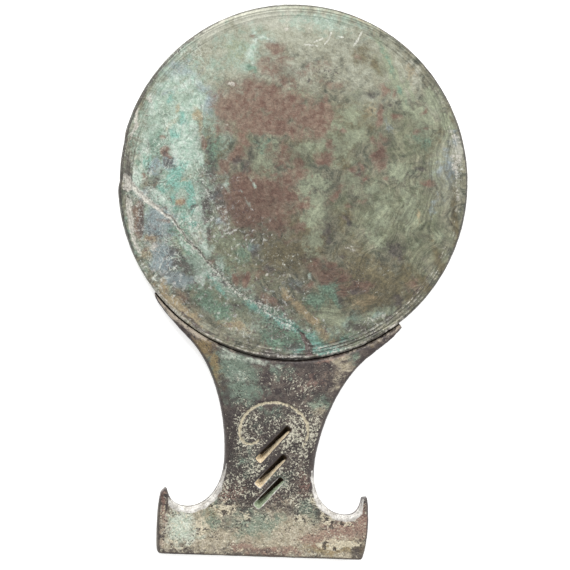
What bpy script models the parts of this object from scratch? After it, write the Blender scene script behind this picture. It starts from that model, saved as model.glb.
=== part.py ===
"""Bronze hand mirror with a cast plate handle, lying on its back.

Two castings. The disc is the mirror itself, slightly out of round, with a low turned rim. An old
break runs across its lower left and has been closed again, so it is one piece with an open line.
The handle is a thick flat plate. Its crescent head carries the disc on a ledge and cups its lower
edge, its waist has an incised crook and three slanting cuts, and its base bar ends in two horns.

+Z points up out of the mirror's face and +Y runs from the base bar to the top of the disc. Both
pieces are drawn from the centre of the disc, and at the end they are moved together, so that the
origin is under the middle of their box, on the surface that the handle's back lies on.
"""

import math

import bmesh
import bpy
from mathutils import Vector

# Heights above the surface that the handle lies on
PLATE_TOP = 0.0080
LEDGE_TOP = 0.0042
DISC_BACK = 0.0045
DISC_FACE = 0.0087
RIM_TOP = 0.0090

# Disc: an oval whose longer radius leans a little to the left of the handle's line
DISC_SHORT_RADIUS = 0.0873
DISC_LONG_RADIUS = 0.08875
DISC_LEAN = math.radians(104)
DISC_STEPS = 96
DISC_PLATE = 0.0022
RIM_WIDTH = 0.0044
RIM_GROOVE_WIDTH = 0.0012
RIM_GROOVE_DEPTH = 0.0003
EDGE_FRONT = 0.0020
EDGE_BACK = 0.0012
EDGE_STEPS = 4
BACK_RIM_WIDTH = 0.0070
BACK_RIM_SLOPE = 0.0016

# The mended fragment stands a little outside the oval, between the two ends of the break
FRAGMENT_START = math.radians(185)
FRAGMENT_END = math.radians(281)
FRAGMENT_PROUD = 0.00045

# The break, from the left edge to the bottom edge: x, y, width of the open line
BREAK_DEPTH = 0.0010
BREAK_ROUTE = (
    (-0.0905, -0.0020, 0.0022),
    (-0.0860, -0.0042, 0.0016),
    (-0.0720, -0.0134, 0.0010),
    (-0.0600, -0.0214, 0.0010),
    (-0.0540, -0.0294, 0.0012),
    (-0.0470, -0.0374, 0.0010),
    (-0.0360, -0.0484, 0.0014),
    (-0.0300, -0.0524, 0.0012),
    (-0.0120, -0.0624, 0.0012),
    (0.0020, -0.0699, 0.0014),
    (0.0108, -0.0752, 0.0026),
    (0.0146, -0.0815, 0.0044),
    (0.0168, -0.0905, 0.0050),
)

# Seat: the crescent wall that cups the disc's lower edge, and the ledge behind the disc
SEAT_CLEARANCE = 0.00075
SEAT_LIP_WIDTH = 0.0012
SEAT_LIP_DEPTH = 0.0015
LEDGE_RADIUS = 0.0760
LEDGE_STEPS = 28

# Handle plan, each side from the tip of its arm down to the base bar
LEFT_TIP = (-0.0645, -0.0611)
LEFT_ARM_FOOT = (-0.0451, -0.0824)
LEFT_WAIST = (-0.0226, -0.1424)
LEFT_COVE = (-0.0396, -0.1666)
LEFT_HORN_INSIDE = (-0.0498, -0.1584)
LEFT_HORN_TOP = (-0.0508, -0.1577)
LEFT_HORN_OUTSIDE = (-0.0530, -0.1604)
LEFT_END_FOOT = (-0.0527, -0.1889)
BASE_LEFT = (-0.0505, -0.1912)
BASE_RIGHT = (0.0497, -0.1866)
RIGHT_END_FOOT = (0.0512, -0.1848)
RIGHT_HORN_OUTSIDE = (0.0507, -0.1547)
RIGHT_HORN_INSIDE = (0.0480, -0.1553)
RIGHT_COVE = (0.0400, -0.1648)
RIGHT_WAIST = (0.0229, -0.1424)
RIGHT_ARM_FOOT = (0.0466, -0.0829)
RIGHT_TIP = (0.0609, -0.0680)

# How far the rounded front edge reaches in from the outline
TIP_EDGE = 0.0005
ARM_EDGE = 0.0016
FLANK_EDGE = 0.0025
COVE_EDGE = 0.0022
HORN_EDGE = 0.0010
LEFT_END_EDGE = 0.0024
BASE_EDGE = 0.0011
RIGHT_END_EDGE = 0.0013
LEDGE_EDGE = 0.0008
BACK_EDGE_SHARE = 0.4

# The incised crook above the cuts: a flat arch that turns in on itself at its left foot
CROOK_WIDTH = 0.0013
CROOK_DEPTH = 0.0005
CROOK_CENTRE = (0.0009, -0.1250)
CROOK_HALF_SPAN = 0.0171
CROOK_RISE = 0.0145
CROOK_HOOK_RADIUS = 0.0053
CROOK_HOOK_DROP = 0.0022
CROOK_FOOT = math.radians(-25)
CROOK_SWEEP = math.radians(205)
CROOK_HOOK_SWEEP = math.radians(155)
CROOK_STEPS = 20
CROOK_HOOK_STEPS = 10

# The three slanting cuts: height of each one's middle, its length
CUT_ROWS = ((-0.1317, 0.0230), (-0.1451, 0.0207), (-0.1561, 0.0195))
CUT_MIDDLE_X = 0.0013
CUT_SLANT = math.radians(51.5)
CUT_DEPTH = 0.0055
CUT_FOOT_WIDTH = 0.0037
CUT_HEAD_WIDTH = 0.0030
CUT_FLOOR_WIDTH = 0.0013
CUT_FOOT_RAMP = 0.0034
CUT_HEAD_RAMP = 0.0018

# A cutter stands this far above the face that it cuts
ABOVE = 0.0010

# Points along the plan's curves, the least share that a sharp corner's mitre is cut to, and the
# turn between two faces past which their edge shows as a crisp one
ARM_STEPS = 10
FLANK_STEPS = 16
COVE_STEPS = 12
HORN_STEPS = 7
END_STEPS = 8
CORNER_STEPS = 3
LEAST_MITRE = 0.6
CRISP_ANGLE = math.radians(35)

# Mean colour, roughness and metal share of the patina on each casting
DISC_PATINA = ((0.19, 0.21, 0.16), 0.55, 0.55)
HANDLE_PATINA = ((0.15, 0.14, 0.11), 0.70, 0.45)


def clear_scene():
    for obj in list(bpy.data.objects):
        bpy.data.objects.remove(obj, do_unlink=True)


def bronze(name, color, roughness, metallic):
    material = bpy.data.materials.new(name)
    material.use_nodes = True
    shader = material.node_tree.nodes["Principled BSDF"]
    shader.inputs["Base Color"].default_value = (*color, 1.0)
    shader.inputs["Roughness"].default_value = roughness
    shader.inputs["Metallic"].default_value = metallic
    return material


def body_from_rings(name, rings):
    """A closed body from rings of equal length, stacked from the top cap down to the bottom cap."""
    mesh = bmesh.new()
    loops = [[mesh.verts.new(point) for point in ring] for ring in rings]
    count = len(loops[0])
    for upper, lower in zip(loops, loops[1:]):
        for i in range(count):
            j = (i + 1) % count
            mesh.faces.new((upper[i], lower[i], lower[j], upper[j]))
    mesh.faces.new(loops[0])
    mesh.faces.new(reversed(loops[-1]))
    bmesh.ops.recalc_face_normals(mesh, faces=mesh.faces)
    data = bpy.data.meshes.new(name)
    mesh.to_mesh(data)
    mesh.free()
    obj = bpy.data.objects.new(name, data)
    bpy.context.scene.collection.objects.link(obj)
    return obj


def cut(obj, cutter):
    """Takes the cutter's shape out of the object, and keeps the cutter as a hidden guide."""
    cutter.hide_render = True
    cutter.display_type = "WIRE"
    boolean = obj.modifiers.new(cutter.name, "BOOLEAN")
    boolean.operation = "DIFFERENCE"
    boolean.solver = "EXACT"
    boolean.object = cutter


def finish(obj, material):
    obj.data.materials.append(material)
    obj.data.shade_smooth()
    obj.data.set_sharp_from_angle(angle=CRISP_ANGLE)


def quarter_round(width, drop, top):
    """(inset, height) from the top of a rounded edge down to its side."""
    points = []
    for step in range(EDGE_STEPS):
        turn = math.radians(90) * step / (EDGE_STEPS - 1)
        points.append((width * (1 - math.sin(turn)), top - drop * (1 - math.cos(turn))))
    return points


def disc_radius(turn):
    along = math.cos(turn - DISC_LEAN) / DISC_LONG_RADIUS
    across = math.sin(turn - DISC_LEAN) / DISC_SHORT_RADIUS
    return 1 / math.hypot(along, across)


def disc_ring(inset, height, proud=0.0):
    ring = []
    for step in range(DISC_STEPS):
        turn = math.tau * step / DISC_STEPS
        radius = disc_radius(turn) - inset
        if FRAGMENT_START < turn < FRAGMENT_END:
            radius += proud
        ring.append((radius * math.cos(turn), radius * math.sin(turn), height))
    return ring


def disc_profile():
    """(inset from the outer edge, height), from the flat face round the edge to the hollowed back."""
    groove = RIM_WIDTH + RIM_GROOVE_WIDTH
    points = [
        (groove + RIM_GROOVE_WIDTH / 2, DISC_FACE),
        (groove, DISC_FACE - RIM_GROOVE_DEPTH),
        (RIM_WIDTH, RIM_TOP),
    ]
    points += quarter_round(EDGE_FRONT, EDGE_FRONT, RIM_TOP)
    back = quarter_round(EDGE_BACK, -EDGE_BACK, DISC_BACK)
    points += reversed(back)
    points += [
        (BACK_RIM_WIDTH, DISC_BACK),
        (BACK_RIM_WIDTH + BACK_RIM_SLOPE, DISC_FACE - DISC_PLATE),
    ]
    return points


def groove_cutter(name, route, top, depth):
    """A V-shaped cutter along a route of (x, y, width) points."""
    points = [Vector((x, y)) for x, y, _ in route]
    sections = []
    for i, (x, y, width) in enumerate(route):
        ahead = points[min(i + 1, len(points) - 1)] - points[max(i - 1, 0)]
        across = Vector((-ahead.y, ahead.x)).normalized() * width / 2
        reach = (depth + ABOVE) / depth
        sections.append(
            [
                (x + across.x * reach, y + across.y * reach, top + ABOVE),
                (x, y, top - depth),
                (x - across.x * reach, y - across.y * reach, top + ABOVE),
            ]
        )
    return body_from_rings(name, sections)


def stretch(start, pull_out, pull_in, end, steps, edges):
    """A cubic curve as (x, y, edge) points, without its last one. edges is the edge at each end."""
    points = []
    for step in range(steps):
        t = step / steps
        weights = ((1 - t) ** 3, 3 * t * (1 - t) ** 2, 3 * t * t * (1 - t), t**3)
        x = sum(w * p[0] for w, p in zip(weights, (start, pull_out, pull_in, end)))
        y = sum(w * p[1] for w, p in zip(weights, (start, pull_out, pull_in, end)))
        points.append((x, y, edges[0] + (edges[1] - edges[0]) * t))
    return points


def left_side():
    tip_to_foot = ((-0.0628, -0.0672), (-0.0510, -0.0770))
    foot_to_waist = ((-0.0306, -0.0952), (-0.0226, -0.1228))
    waist_to_cove = ((-0.0226, -0.1590), (-0.0320, -0.1666))
    cove_to_horn = ((-0.0470, -0.1666), (-0.0488, -0.1621))
    end_face = ((-0.0545, -0.1665), (-0.0536, -0.1815))
    corner = ((-0.0524, -0.1905), (-0.0518, -0.1912))
    points = stretch(LEFT_TIP, *tip_to_foot, LEFT_ARM_FOOT, ARM_STEPS, (TIP_EDGE, ARM_EDGE))
    points += stretch(LEFT_ARM_FOOT, *foot_to_waist, LEFT_WAIST, FLANK_STEPS, (ARM_EDGE, FLANK_EDGE))
    points += stretch(LEFT_WAIST, *waist_to_cove, LEFT_COVE, COVE_STEPS, (FLANK_EDGE, COVE_EDGE))
    points += stretch(LEFT_COVE, *cove_to_horn, LEFT_HORN_INSIDE, HORN_STEPS, (COVE_EDGE, HORN_EDGE))
    points.append((*LEFT_HORN_INSIDE, HORN_EDGE))
    points.append((*LEFT_HORN_TOP, HORN_EDGE))
    points += stretch(LEFT_HORN_OUTSIDE, *end_face, LEFT_END_FOOT, END_STEPS, (HORN_EDGE, LEFT_END_EDGE))
    points += stretch(LEFT_END_FOOT, *corner, BASE_LEFT, CORNER_STEPS, (LEFT_END_EDGE, BASE_EDGE))
    points.append((*BASE_LEFT, BASE_EDGE))
    return points


def right_side():
    corner = ((0.0505, -0.1866), (0.0510, -0.1861))
    end_face = ((0.0531, -0.1785), (0.0529, -0.1630))
    horn_to_cove = ((0.0475, -0.1612), (0.0459, -0.1648))
    cove_to_waist = ((0.0306, -0.1648), (0.0229, -0.1560))
    waist_to_foot = ((0.0229, -0.1228), (0.0320, -0.0952))
    foot_to_tip = ((0.0526, -0.0773), (0.0575, -0.0729))
    points = stretch(BASE_RIGHT, *corner, RIGHT_END_FOOT, CORNER_STEPS, (BASE_EDGE, RIGHT_END_EDGE))
    points += stretch(
        RIGHT_END_FOOT, *end_face, RIGHT_HORN_OUTSIDE, END_STEPS, (RIGHT_END_EDGE, HORN_EDGE)
    )
    points.append((*RIGHT_HORN_OUTSIDE, HORN_EDGE))
    points += stretch(RIGHT_HORN_INSIDE, *horn_to_cove, RIGHT_COVE, HORN_STEPS, (HORN_EDGE, COVE_EDGE))
    points += stretch(RIGHT_COVE, *cove_to_waist, RIGHT_WAIST, COVE_STEPS, (COVE_EDGE, FLANK_EDGE))
    points += stretch(RIGHT_WAIST, *waist_to_foot, RIGHT_ARM_FOOT, FLANK_STEPS, (FLANK_EDGE, ARM_EDGE))
    points += stretch(RIGHT_ARM_FOOT, *foot_to_tip, RIGHT_TIP, ARM_STEPS, (ARM_EDGE, TIP_EDGE))
    points.append((*RIGHT_TIP, TIP_EDGE))
    return points


def ledge_side():
    """The ledge's inner edge behind the disc, from the right arm round to the left one."""
    first = math.atan2(RIGHT_TIP[1], RIGHT_TIP[0])
    last = math.atan2(LEFT_TIP[1], LEFT_TIP[0])
    points = []
    for step in range(LEDGE_STEPS + 1):
        turn = first + (last - first) * step / LEDGE_STEPS
        x = LEDGE_RADIUS * math.cos(turn)
        y = LEDGE_RADIUS * math.sin(turn)
        points.append((x, y, LEDGE_EDGE))
    return points


def inset_ring(outline, share, height_of):
    """The outline moved in by a share of each point's own edge, at the height that edge gives."""
    ring = []
    count = len(outline)
    for i, (x, y, edge) in enumerate(outline):
        before = Vector((x, y)) - Vector(outline[i - 1][:2])
        after = Vector(outline[(i + 1) % count][:2]) - Vector((x, y))
        inward_before = Vector((-before.y, before.x)).normalized()
        inward_after = Vector((-after.y, after.x)).normalized()
        inward = (inward_before + inward_after).normalized()
        mitre = max(inward.dot(inward_after), LEAST_MITRE)
        moved = Vector((x, y)) + inward * (edge * share / mitre)
        ring.append((moved.x, moved.y, height_of(edge)))
    return ring


def handle_rings():
    outline = left_side() + right_side() + ledge_side()
    rings = []
    for share, drop in quarter_round(1.0, 1.0, 0.0):
        rings.append(inset_ring(outline, share, lambda edge, drop=drop: PLATE_TOP + edge * drop))
    for share, lift in reversed(quarter_round(BACK_EDGE_SHARE, -BACK_EDGE_SHARE, 0.0)):
        rings.append(inset_ring(outline, share, lambda edge, lift=lift: edge * lift))
    return rings


def seat_cutter():
    """The disc's own outline with its clearance, flared into a lip at the handle's face."""
    wall = -SEAT_CLEARANCE
    lip = wall - SEAT_LIP_WIDTH
    flare = SEAT_LIP_WIDTH * ABOVE / SEAT_LIP_DEPTH
    rings = [
        disc_ring(lip - flare, PLATE_TOP + ABOVE),
        disc_ring(wall, PLATE_TOP - SEAT_LIP_DEPTH),
        disc_ring(wall, LEDGE_TOP),
    ]
    return body_from_rings("cut_seat", rings)


def crook_route():
    """From the arch's right foot over its top to its left foot, and round the hook inside it."""
    x, y = CROOK_CENTRE
    route = []
    for step in range(CROOK_STEPS + 1):
        turn = CROOK_FOOT + CROOK_SWEEP * step / CROOK_STEPS
        route.append(
            (x + CROOK_HALF_SPAN * math.cos(turn), y + CROOK_RISE * math.sin(turn), CROOK_WIDTH)
        )
    hook_x = x - CROOK_HALF_SPAN + CROOK_HOOK_RADIUS
    for step in range(1, CROOK_HOOK_STEPS + 1):
        turn = math.pi + CROOK_HOOK_SWEEP * step / CROOK_HOOK_STEPS
        hook_y = y - CROOK_HOOK_DROP + CROOK_HOOK_RADIUS * math.sin(turn)
        route.append((hook_x + CROOK_HOOK_RADIUS * math.cos(turn), hook_y, CROOK_WIDTH))
    return route


def slanting_cutter(name, middle_y, length):
    """A chisel cut: one upright wall, one sloping wall, and a ramp at each end of its narrow floor."""
    along = Vector((math.cos(CUT_SLANT), math.sin(CUT_SLANT)))
    across = Vector((along.y, -along.x))
    middle = Vector((CUT_MIDDLE_X, middle_y))
    foot = -length / 2
    head = length / 2

    def ring(corners, height):
        return [(*(middle + along * a + across * b), height) for a, b in corners]

    mouth = (
        (foot, -CUT_FOOT_WIDTH / 2),
        (foot, CUT_FOOT_WIDTH / 2),
        (head, CUT_HEAD_WIDTH / 2),
        (head, -CUT_HEAD_WIDTH / 2),
    )
    upright = -CUT_HEAD_WIDTH / 2
    floor = (
        (foot + CUT_FOOT_RAMP, upright),
        (foot + CUT_FOOT_RAMP, upright + CUT_FLOOR_WIDTH),
        (head - CUT_HEAD_RAMP, upright + CUT_FLOOR_WIDTH),
        (head - CUT_HEAD_RAMP, upright),
    )
    rings = [
        ring(mouth, PLATE_TOP + ABOVE),
        ring(mouth, PLATE_TOP),
        ring(floor, PLATE_TOP - CUT_DEPTH),
    ]
    return body_from_rings(name, rings)


def make_disc():
    rings = [disc_ring(inset, height, FRAGMENT_PROUD) for inset, height in disc_profile()]
    disc = body_from_rings("disc", rings)
    cut(disc, groove_cutter("cut_break", BREAK_ROUTE, RIM_TOP, BREAK_DEPTH))
    finish(disc, bronze("patinated_bronze_disc", *DISC_PATINA))
    return disc


def make_handle():
    handle = body_from_rings("handle", handle_rings())
    cut(handle, seat_cutter())
    cut(handle, groove_cutter("cut_crook", crook_route(), PLATE_TOP, CROOK_DEPTH))
    for number, (middle_y, length) in enumerate(CUT_ROWS, 1):
        cut(handle, slanting_cutter(f"cut_slot_{number}", middle_y, length))
    finish(handle, bronze("patinated_bronze_handle", *HANDLE_PATINA))
    return handle


def centre_over_origin(pieces):
    """Moves all that is in the scene, so that the pieces' box has its bottom centre at the origin."""
    bpy.context.view_layer.update()
    graph = bpy.context.evaluated_depsgraph_get()
    corners = []
    for piece in pieces:
        evaluated = piece.evaluated_get(graph)
        corners += [piece.matrix_world @ Vector(corner) for corner in evaluated.bound_box]
    low = Vector([min(corner[i] for corner in corners) for i in range(3)])
    high = Vector([max(corner[i] for corner in corners) for i in range(3)])
    middle = (low + high) / 2
    for obj in bpy.context.scene.collection.objects:
        obj.location = (-middle.x, -middle.y, -low.z)


clear_scene()
centre_over_origin([make_disc(), make_handle()])
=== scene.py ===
"""Looks of an ancient bronze hand mirror, lying on its back: the disc, the handle, and the table."""

import itertools
import math

import bmesh
import bpy
import numpy as np
from mathutils import Matrix, Vector


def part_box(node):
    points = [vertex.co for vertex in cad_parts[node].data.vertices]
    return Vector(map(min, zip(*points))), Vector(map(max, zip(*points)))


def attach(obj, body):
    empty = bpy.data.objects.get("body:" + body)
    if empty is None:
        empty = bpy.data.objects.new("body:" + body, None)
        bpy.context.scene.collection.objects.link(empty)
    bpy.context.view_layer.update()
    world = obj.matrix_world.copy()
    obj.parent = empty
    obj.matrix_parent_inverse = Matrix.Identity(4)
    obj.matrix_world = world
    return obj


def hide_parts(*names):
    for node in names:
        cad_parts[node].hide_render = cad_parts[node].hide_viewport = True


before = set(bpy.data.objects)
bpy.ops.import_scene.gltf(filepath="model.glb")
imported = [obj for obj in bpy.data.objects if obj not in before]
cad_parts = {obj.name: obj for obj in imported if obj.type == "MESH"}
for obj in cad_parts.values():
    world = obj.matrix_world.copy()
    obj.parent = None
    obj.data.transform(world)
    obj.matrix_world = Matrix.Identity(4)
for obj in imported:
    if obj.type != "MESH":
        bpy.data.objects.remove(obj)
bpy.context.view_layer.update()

# ------------------------------------------------------------------------------------------------
# The disc
# The mirror itself: one casting of tin bronze, hammered thin and turned smooth, with a low rim left
# round its face. An old break runs across its lower left, where the fragment has been fixed back.
# Burial has turned its skin to copper minerals, which lie over each other in patches.
# ------------------------------------------------------------------------------------------------

MM = 0.001

disc_low, disc_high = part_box("disc")
DISC_BACK = disc_low.z
RIM_TOP = disc_high.z
LONG_RADIUS = 88.7 * MM
SHORT_RADIUS = 87.25 * MM
LEAN = math.radians(104)
CENTRE = Vector(
    (
        disc_high.x - math.hypot(LONG_RADIUS * math.cos(LEAN), SHORT_RADIUS * math.sin(LEAN)),
        disc_high.y - math.hypot(LONG_RADIUS * math.sin(LEAN), SHORT_RADIUS * math.cos(LEAN)),
        0.0,
    )
)
DISC_STEPS = 520
FRONT_ROUND = 2.0 * MM
BACK_ROUND = 1.2 * MM
FIELD_DROP = 0.3 * MM
RIM_BAND = 4.6 * MM
RIM_CUTS = 17
FIELD_CUTS = 126
BACK_RIM = 6.0 * MM
BACK_SLOPE = 1.6 * MM
BACK_HOLLOW = 2.0 * MM
BACK_CUTS = 17
BACK_RIM_CUTS = 5
EYE = 0.6 * MM
SAME = 0.01 * MM


def pick_edges(obj, chosen):
    """In edit mode, selects the edges whose two ends pass the test, and nothing else."""
    bpy.ops.mesh.select_mode(type="EDGE")
    bpy.ops.mesh.select_all(action="DESELECT")
    mesh = bmesh.from_edit_mesh(obj.data)
    for edge in mesh.edges:
        if chosen(edge.verts[0].co - CENTRE, edge.verts[1].co - CENTRE):
            edge.select_set(True)
    bmesh.update_edit_mesh(obj.data)


def pick_face(obj, height):
    """In edit mode, selects the one many-sided face that lies at this height."""
    bpy.ops.mesh.select_mode(type="FACE")
    bpy.ops.mesh.select_all(action="DESELECT")
    mesh = bmesh.from_edit_mesh(obj.data)
    for face in mesh.faces:
        if len(face.verts) > 4 and abs(face.verts[0].co.z - height) < SAME:
            face.select_set(True)
    bmesh.update_edit_mesh(obj.data)


def rings(obj, height, outer, inner, cuts):
    """In edit mode, cuts the band between two radii, on the side at this height, into rings."""

    def spoke(a, b):
        far, near = max(a.xy.length, b.xy.length), min(a.xy.length, b.xy.length)
        level = abs(a.z - height) < SAME and abs(b.z - height) < SAME
        return level and abs(far - outer) < 2 * SAME and abs(near - inner) < 2 * SAME

    pick_edges(obj, spoke)
    bpy.ops.mesh.subdivide(number_cuts=cuts)


bpy.ops.object.select_all(action="DESELECT")
bpy.ops.mesh.primitive_cylinder_add(
    vertices=DISC_STEPS,
    radius=LONG_RADIUS,
    depth=RIM_TOP - DISC_BACK,
    end_fill_type="NGON",
    location=(CENTRE.x, CENTRE.y, (RIM_TOP + DISC_BACK) / 2),
)
bpy.ops.object.transform_apply(location=True)
disc = bpy.context.object
disc.name = "mirror_disc"
bpy.ops.object.mode_set(mode="EDIT")
pick_edges(disc, lambda a, b: min(a.z, b.z) > RIM_TOP - SAME)
bpy.ops.mesh.bevel(offset=FRONT_ROUND, segments=6, affect="EDGES")
pick_edges(disc, lambda a, b: max(a.z, b.z) < DISC_BACK + SAME)
bpy.ops.mesh.bevel(offset=BACK_ROUND, segments=4, affect="EDGES")
front_flat = LONG_RADIUS - FRONT_ROUND
back_flat = LONG_RADIUS - BACK_ROUND
pick_face(disc, RIM_TOP)
bpy.ops.mesh.inset(thickness=RIM_BAND)
bpy.ops.mesh.inset(thickness=front_flat - RIM_BAND - EYE)
bpy.ops.mesh.poke()
rings(disc, RIM_TOP, front_flat, front_flat - RIM_BAND, RIM_CUTS)
rings(disc, RIM_TOP, front_flat - RIM_BAND, EYE, FIELD_CUTS)
pick_face(disc, DISC_BACK)
bpy.ops.mesh.inset(thickness=BACK_RIM)
bpy.ops.mesh.inset(thickness=BACK_SLOPE, depth=-BACK_HOLLOW)
bpy.ops.mesh.inset(thickness=back_flat - BACK_RIM - BACK_SLOPE - EYE)
bpy.ops.mesh.poke()
rings(disc, DISC_BACK, back_flat, back_flat - BACK_RIM, BACK_RIM_CUTS)
rings(disc, DISC_BACK + BACK_HOLLOW, back_flat - BACK_RIM - BACK_SLOPE, EYE, BACK_CUTS)
bpy.ops.object.mode_set(mode="OBJECT")
bpy.ops.object.select_all(action="DESELECT")

# The skin of the disc, point by point. Its lengths are in millimetres and its places are counted
# from the disc's centre. Directions round it are in degrees from its right, by way of its top.

FRAGMENT_FROM = 185.0
FRAGMENT_TO = 281.0
FRAGMENT_PROUD = 0.35
LEFT_WEAR = 0.6
NICK_DEPTH = 0.45
BREAK_ROUTE = (
    (-91.0, -1.8), (-86.2, -4.2), (-81.9, -7.8), (-75.0, -13.3), (-66.5, -18.6), (-57.0, -25.8),
    (-51.2, -33.4), (-42.6, -40.7), (-33.9, -49.0), (-24.3, -56.3), (-15.0, -60.5), (-7.5, -64.9),
    (5.0, -71.6), (11.2, -75.6), (14.4, -81.5), (16.4, -90.5),
)
BREAK_WIDTHS = (1.5, 1.3, 1.2, 1.0, 0.9, 0.8, 0.8, 0.7, 0.6, 0.6, 0.7, 0.8, 0.9, 1.5, 2.3, 2.6)
BREAK_BAND = 2.6
RIM_LINES = ((2.7, 0.22), (4.3, 0.25), (5.9, 0.12))
RIM_LINE_WIDTH = 0.45
RIM_LIP_WIDTH = 0.42
RIM_LIP_OUT = 0.9
GRAIN_CELLS = 64
STAIN_WANDER = 1.3
STAIN_WANDER_SIZE = 7.0
STAIN_FRAY = 0.07
STAIN_FRAY_SIZE = 3.2


def grain(points, size, seed):
    """Smooth random values from -1 to 1 in space, about this far from one swelling to the next."""
    table = np.random.default_rng(seed).uniform(-1.0, 1.0, (GRAIN_CELLS,) * 3)
    cells = points / size
    low = np.floor(cells).astype(int)
    part = cells - low
    part = part * part * (3.0 - 2.0 * part)
    total = np.zeros(len(points))
    for corner in itertools.product((0, 1), repeat=3):
        weight = np.where(corner, part, 1.0 - part).prod(axis=1)
        i, j, k = ((low + corner) % GRAIN_CELLS).T
        total += weight * table[i, j, k]
    return total


def mottle(points, size, seed, layers=3):
    """The same with finer grain added layer by layer, each half the size and half the strength."""
    return sum(grain(points, size / 2**k, seed + k) / 2**k for k in range(layers))


def stains(places, rows, seed):
    """How strongly these stains cover each place: a half at a stain's edge, wandering a little."""
    points = np.column_stack([places, np.zeros(len(places))])
    wander = [mottle(points, STAIN_WANDER_SIZE, seed + more) for more in (0, 9)]
    spots = places + STAIN_WANDER * np.column_stack(wander)
    cover = np.zeros(len(places))
    for x, y, across, along, turn, strength in rows:
        turned = math.radians(turn)
        away = spots - (x, y)
        side = (away[:, 0] * math.cos(turned) + away[:, 1] * math.sin(turned)) / across
        end = (away[:, 1] * math.cos(turned) - away[:, 0] * math.sin(turned)) / along
        cover = np.maximum(cover, strength * (1.0 - np.hypot(side, end) / 2.0))
    return cover + STAIN_FRAY * mottle(points, STAIN_FRAY_SIZE, seed + 20)


def beside(places, route):
    """Each place's distance from a line of points, and how far along the line it lies."""
    points = np.array(route)
    best = np.full(len(places), np.inf)
    reach = np.zeros(len(places))
    for number, (start, end) in enumerate(zip(points[:-1], points[1:])):
        step = end - start
        share = np.clip((places - start) @ step / (step @ step), 0.0, 1.0)
        away = np.linalg.norm(places - start - share[:, None] * step, axis=1)
        nearer = away < best
        best = np.where(nearer, away, best)
        reach = np.where(nearer, number + share, reach)
    return best, reach


def ease(values, low, high):
    """Rises smoothly from 0 at the low value to 1 at the high one."""
    share = np.clip((values - low) / (high - low), 0.0, 1.0)
    return share * share * (3.0 - 2.0 * share)


def fade(values, low, high):
    """Falls smoothly from 1 at the low value to 0 at the high one."""
    return ease(-values, -high, -low)


def between(values, start, full, fading, end):
    """Rises smoothly from 0 at start to 1 at full, and falls from 1 at fading back to 0 at end."""
    return ease(values, start, full) * fade(values, fading, end)


def deepen(masks, name, values, where=True):
    """Strengthens one mask to these values, wherever it is weaker and the points are chosen."""
    masks[name] = np.where(where, np.maximum(masks[name], values), masks[name])


def points_of(obj):
    """The object's points as rows of numbers."""
    flat = np.empty(len(obj.data.vertices) * 3)
    obj.data.vertices.foreach_get("co", flat)
    return flat.reshape(-1, 3)


def keep(obj, name, values):
    """Stores a value at every point of the mesh, where its material can read it."""
    layer = obj.data.attributes.new(name, "FLOAT", "POINT")
    layer.data.foreach_set("value", np.ascontiguousarray(values, dtype=np.float32))


# The faces beside the break are cut smaller, to hold its ragged edges and crumbs.
bpy.ops.object.select_all(action="DESELECT")
disc.select_set(True)
bpy.context.view_layer.objects.active = disc
bpy.ops.object.mode_set(mode="EDIT")
bpy.ops.mesh.select_mode(type="FACE")
bpy.ops.mesh.select_all(action="DESELECT")
mesh = bmesh.from_edit_mesh(disc.data)
middles = np.array([face.calc_center_median() - CENTRE for face in mesh.faces]) / MM
by_break = beside(middles[:, :2], BREAK_ROUTE)[0] < BREAK_BAND
for face, chosen in zip(mesh.faces, by_break & (middles[:, 2] > (RIM_TOP - SAME) / MM)):
    face.select_set(bool(chosen))
bmesh.update_edit_mesh(disc.data)
bpy.ops.mesh.subdivide(number_cuts=2)
bpy.ops.object.mode_set(mode="OBJECT")
bpy.ops.object.select_all(action="DESELECT")

points = points_of(disc) / MM
places = points[:, :2] - np.array(CENTRE.xy) / MM
radius = np.hypot(*places.T)
x, y = places.T
turn = np.arctan2(y, x)
degrees = np.degrees(turn) % 360.0
inset = LONG_RADIUS / MM - radius
front = points[:, 2] > (RIM_TOP - SAME) / MM
back = points[:, 2] < (DISC_BACK + BACK_HOLLOW + SAME) / MM
back &= radius < (back_flat + SAME) / MM
solid = np.column_stack([places, points[:, 2]])


def towards(direction):
    """1 straight in this direction from the disc's centre, and 0 at right angles to it."""
    return np.cos(turn - math.radians(direction))


# The long oval, the fragment standing a little proud of it, and the edge worn away at the far left.
oval = 1.0 / np.hypot(np.cos(turn - LEAN) / LONG_RADIUS, np.sin(turn - LEAN) / SHORT_RADIUS) / MM
proud = FRAGMENT_PROUD * ease(degrees, FRAGMENT_FROM, FRAGMENT_FROM + 3.0)
proud *= fade(degrees, FRAGMENT_TO - 2.5, FRAGMENT_TO + 1.5)
worn = LEFT_WEAR * between(degrees, 168.0, 172.0, 184.0, 186.0)
nicks = NICK_DEPTH * ease(mottle(solid, 3.0, 41), 0.55, 1.1)
stretch = (oval + proud - worn - nicks * (radius > front_flat / MM)) / (LONG_RADIUS / MM)

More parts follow.
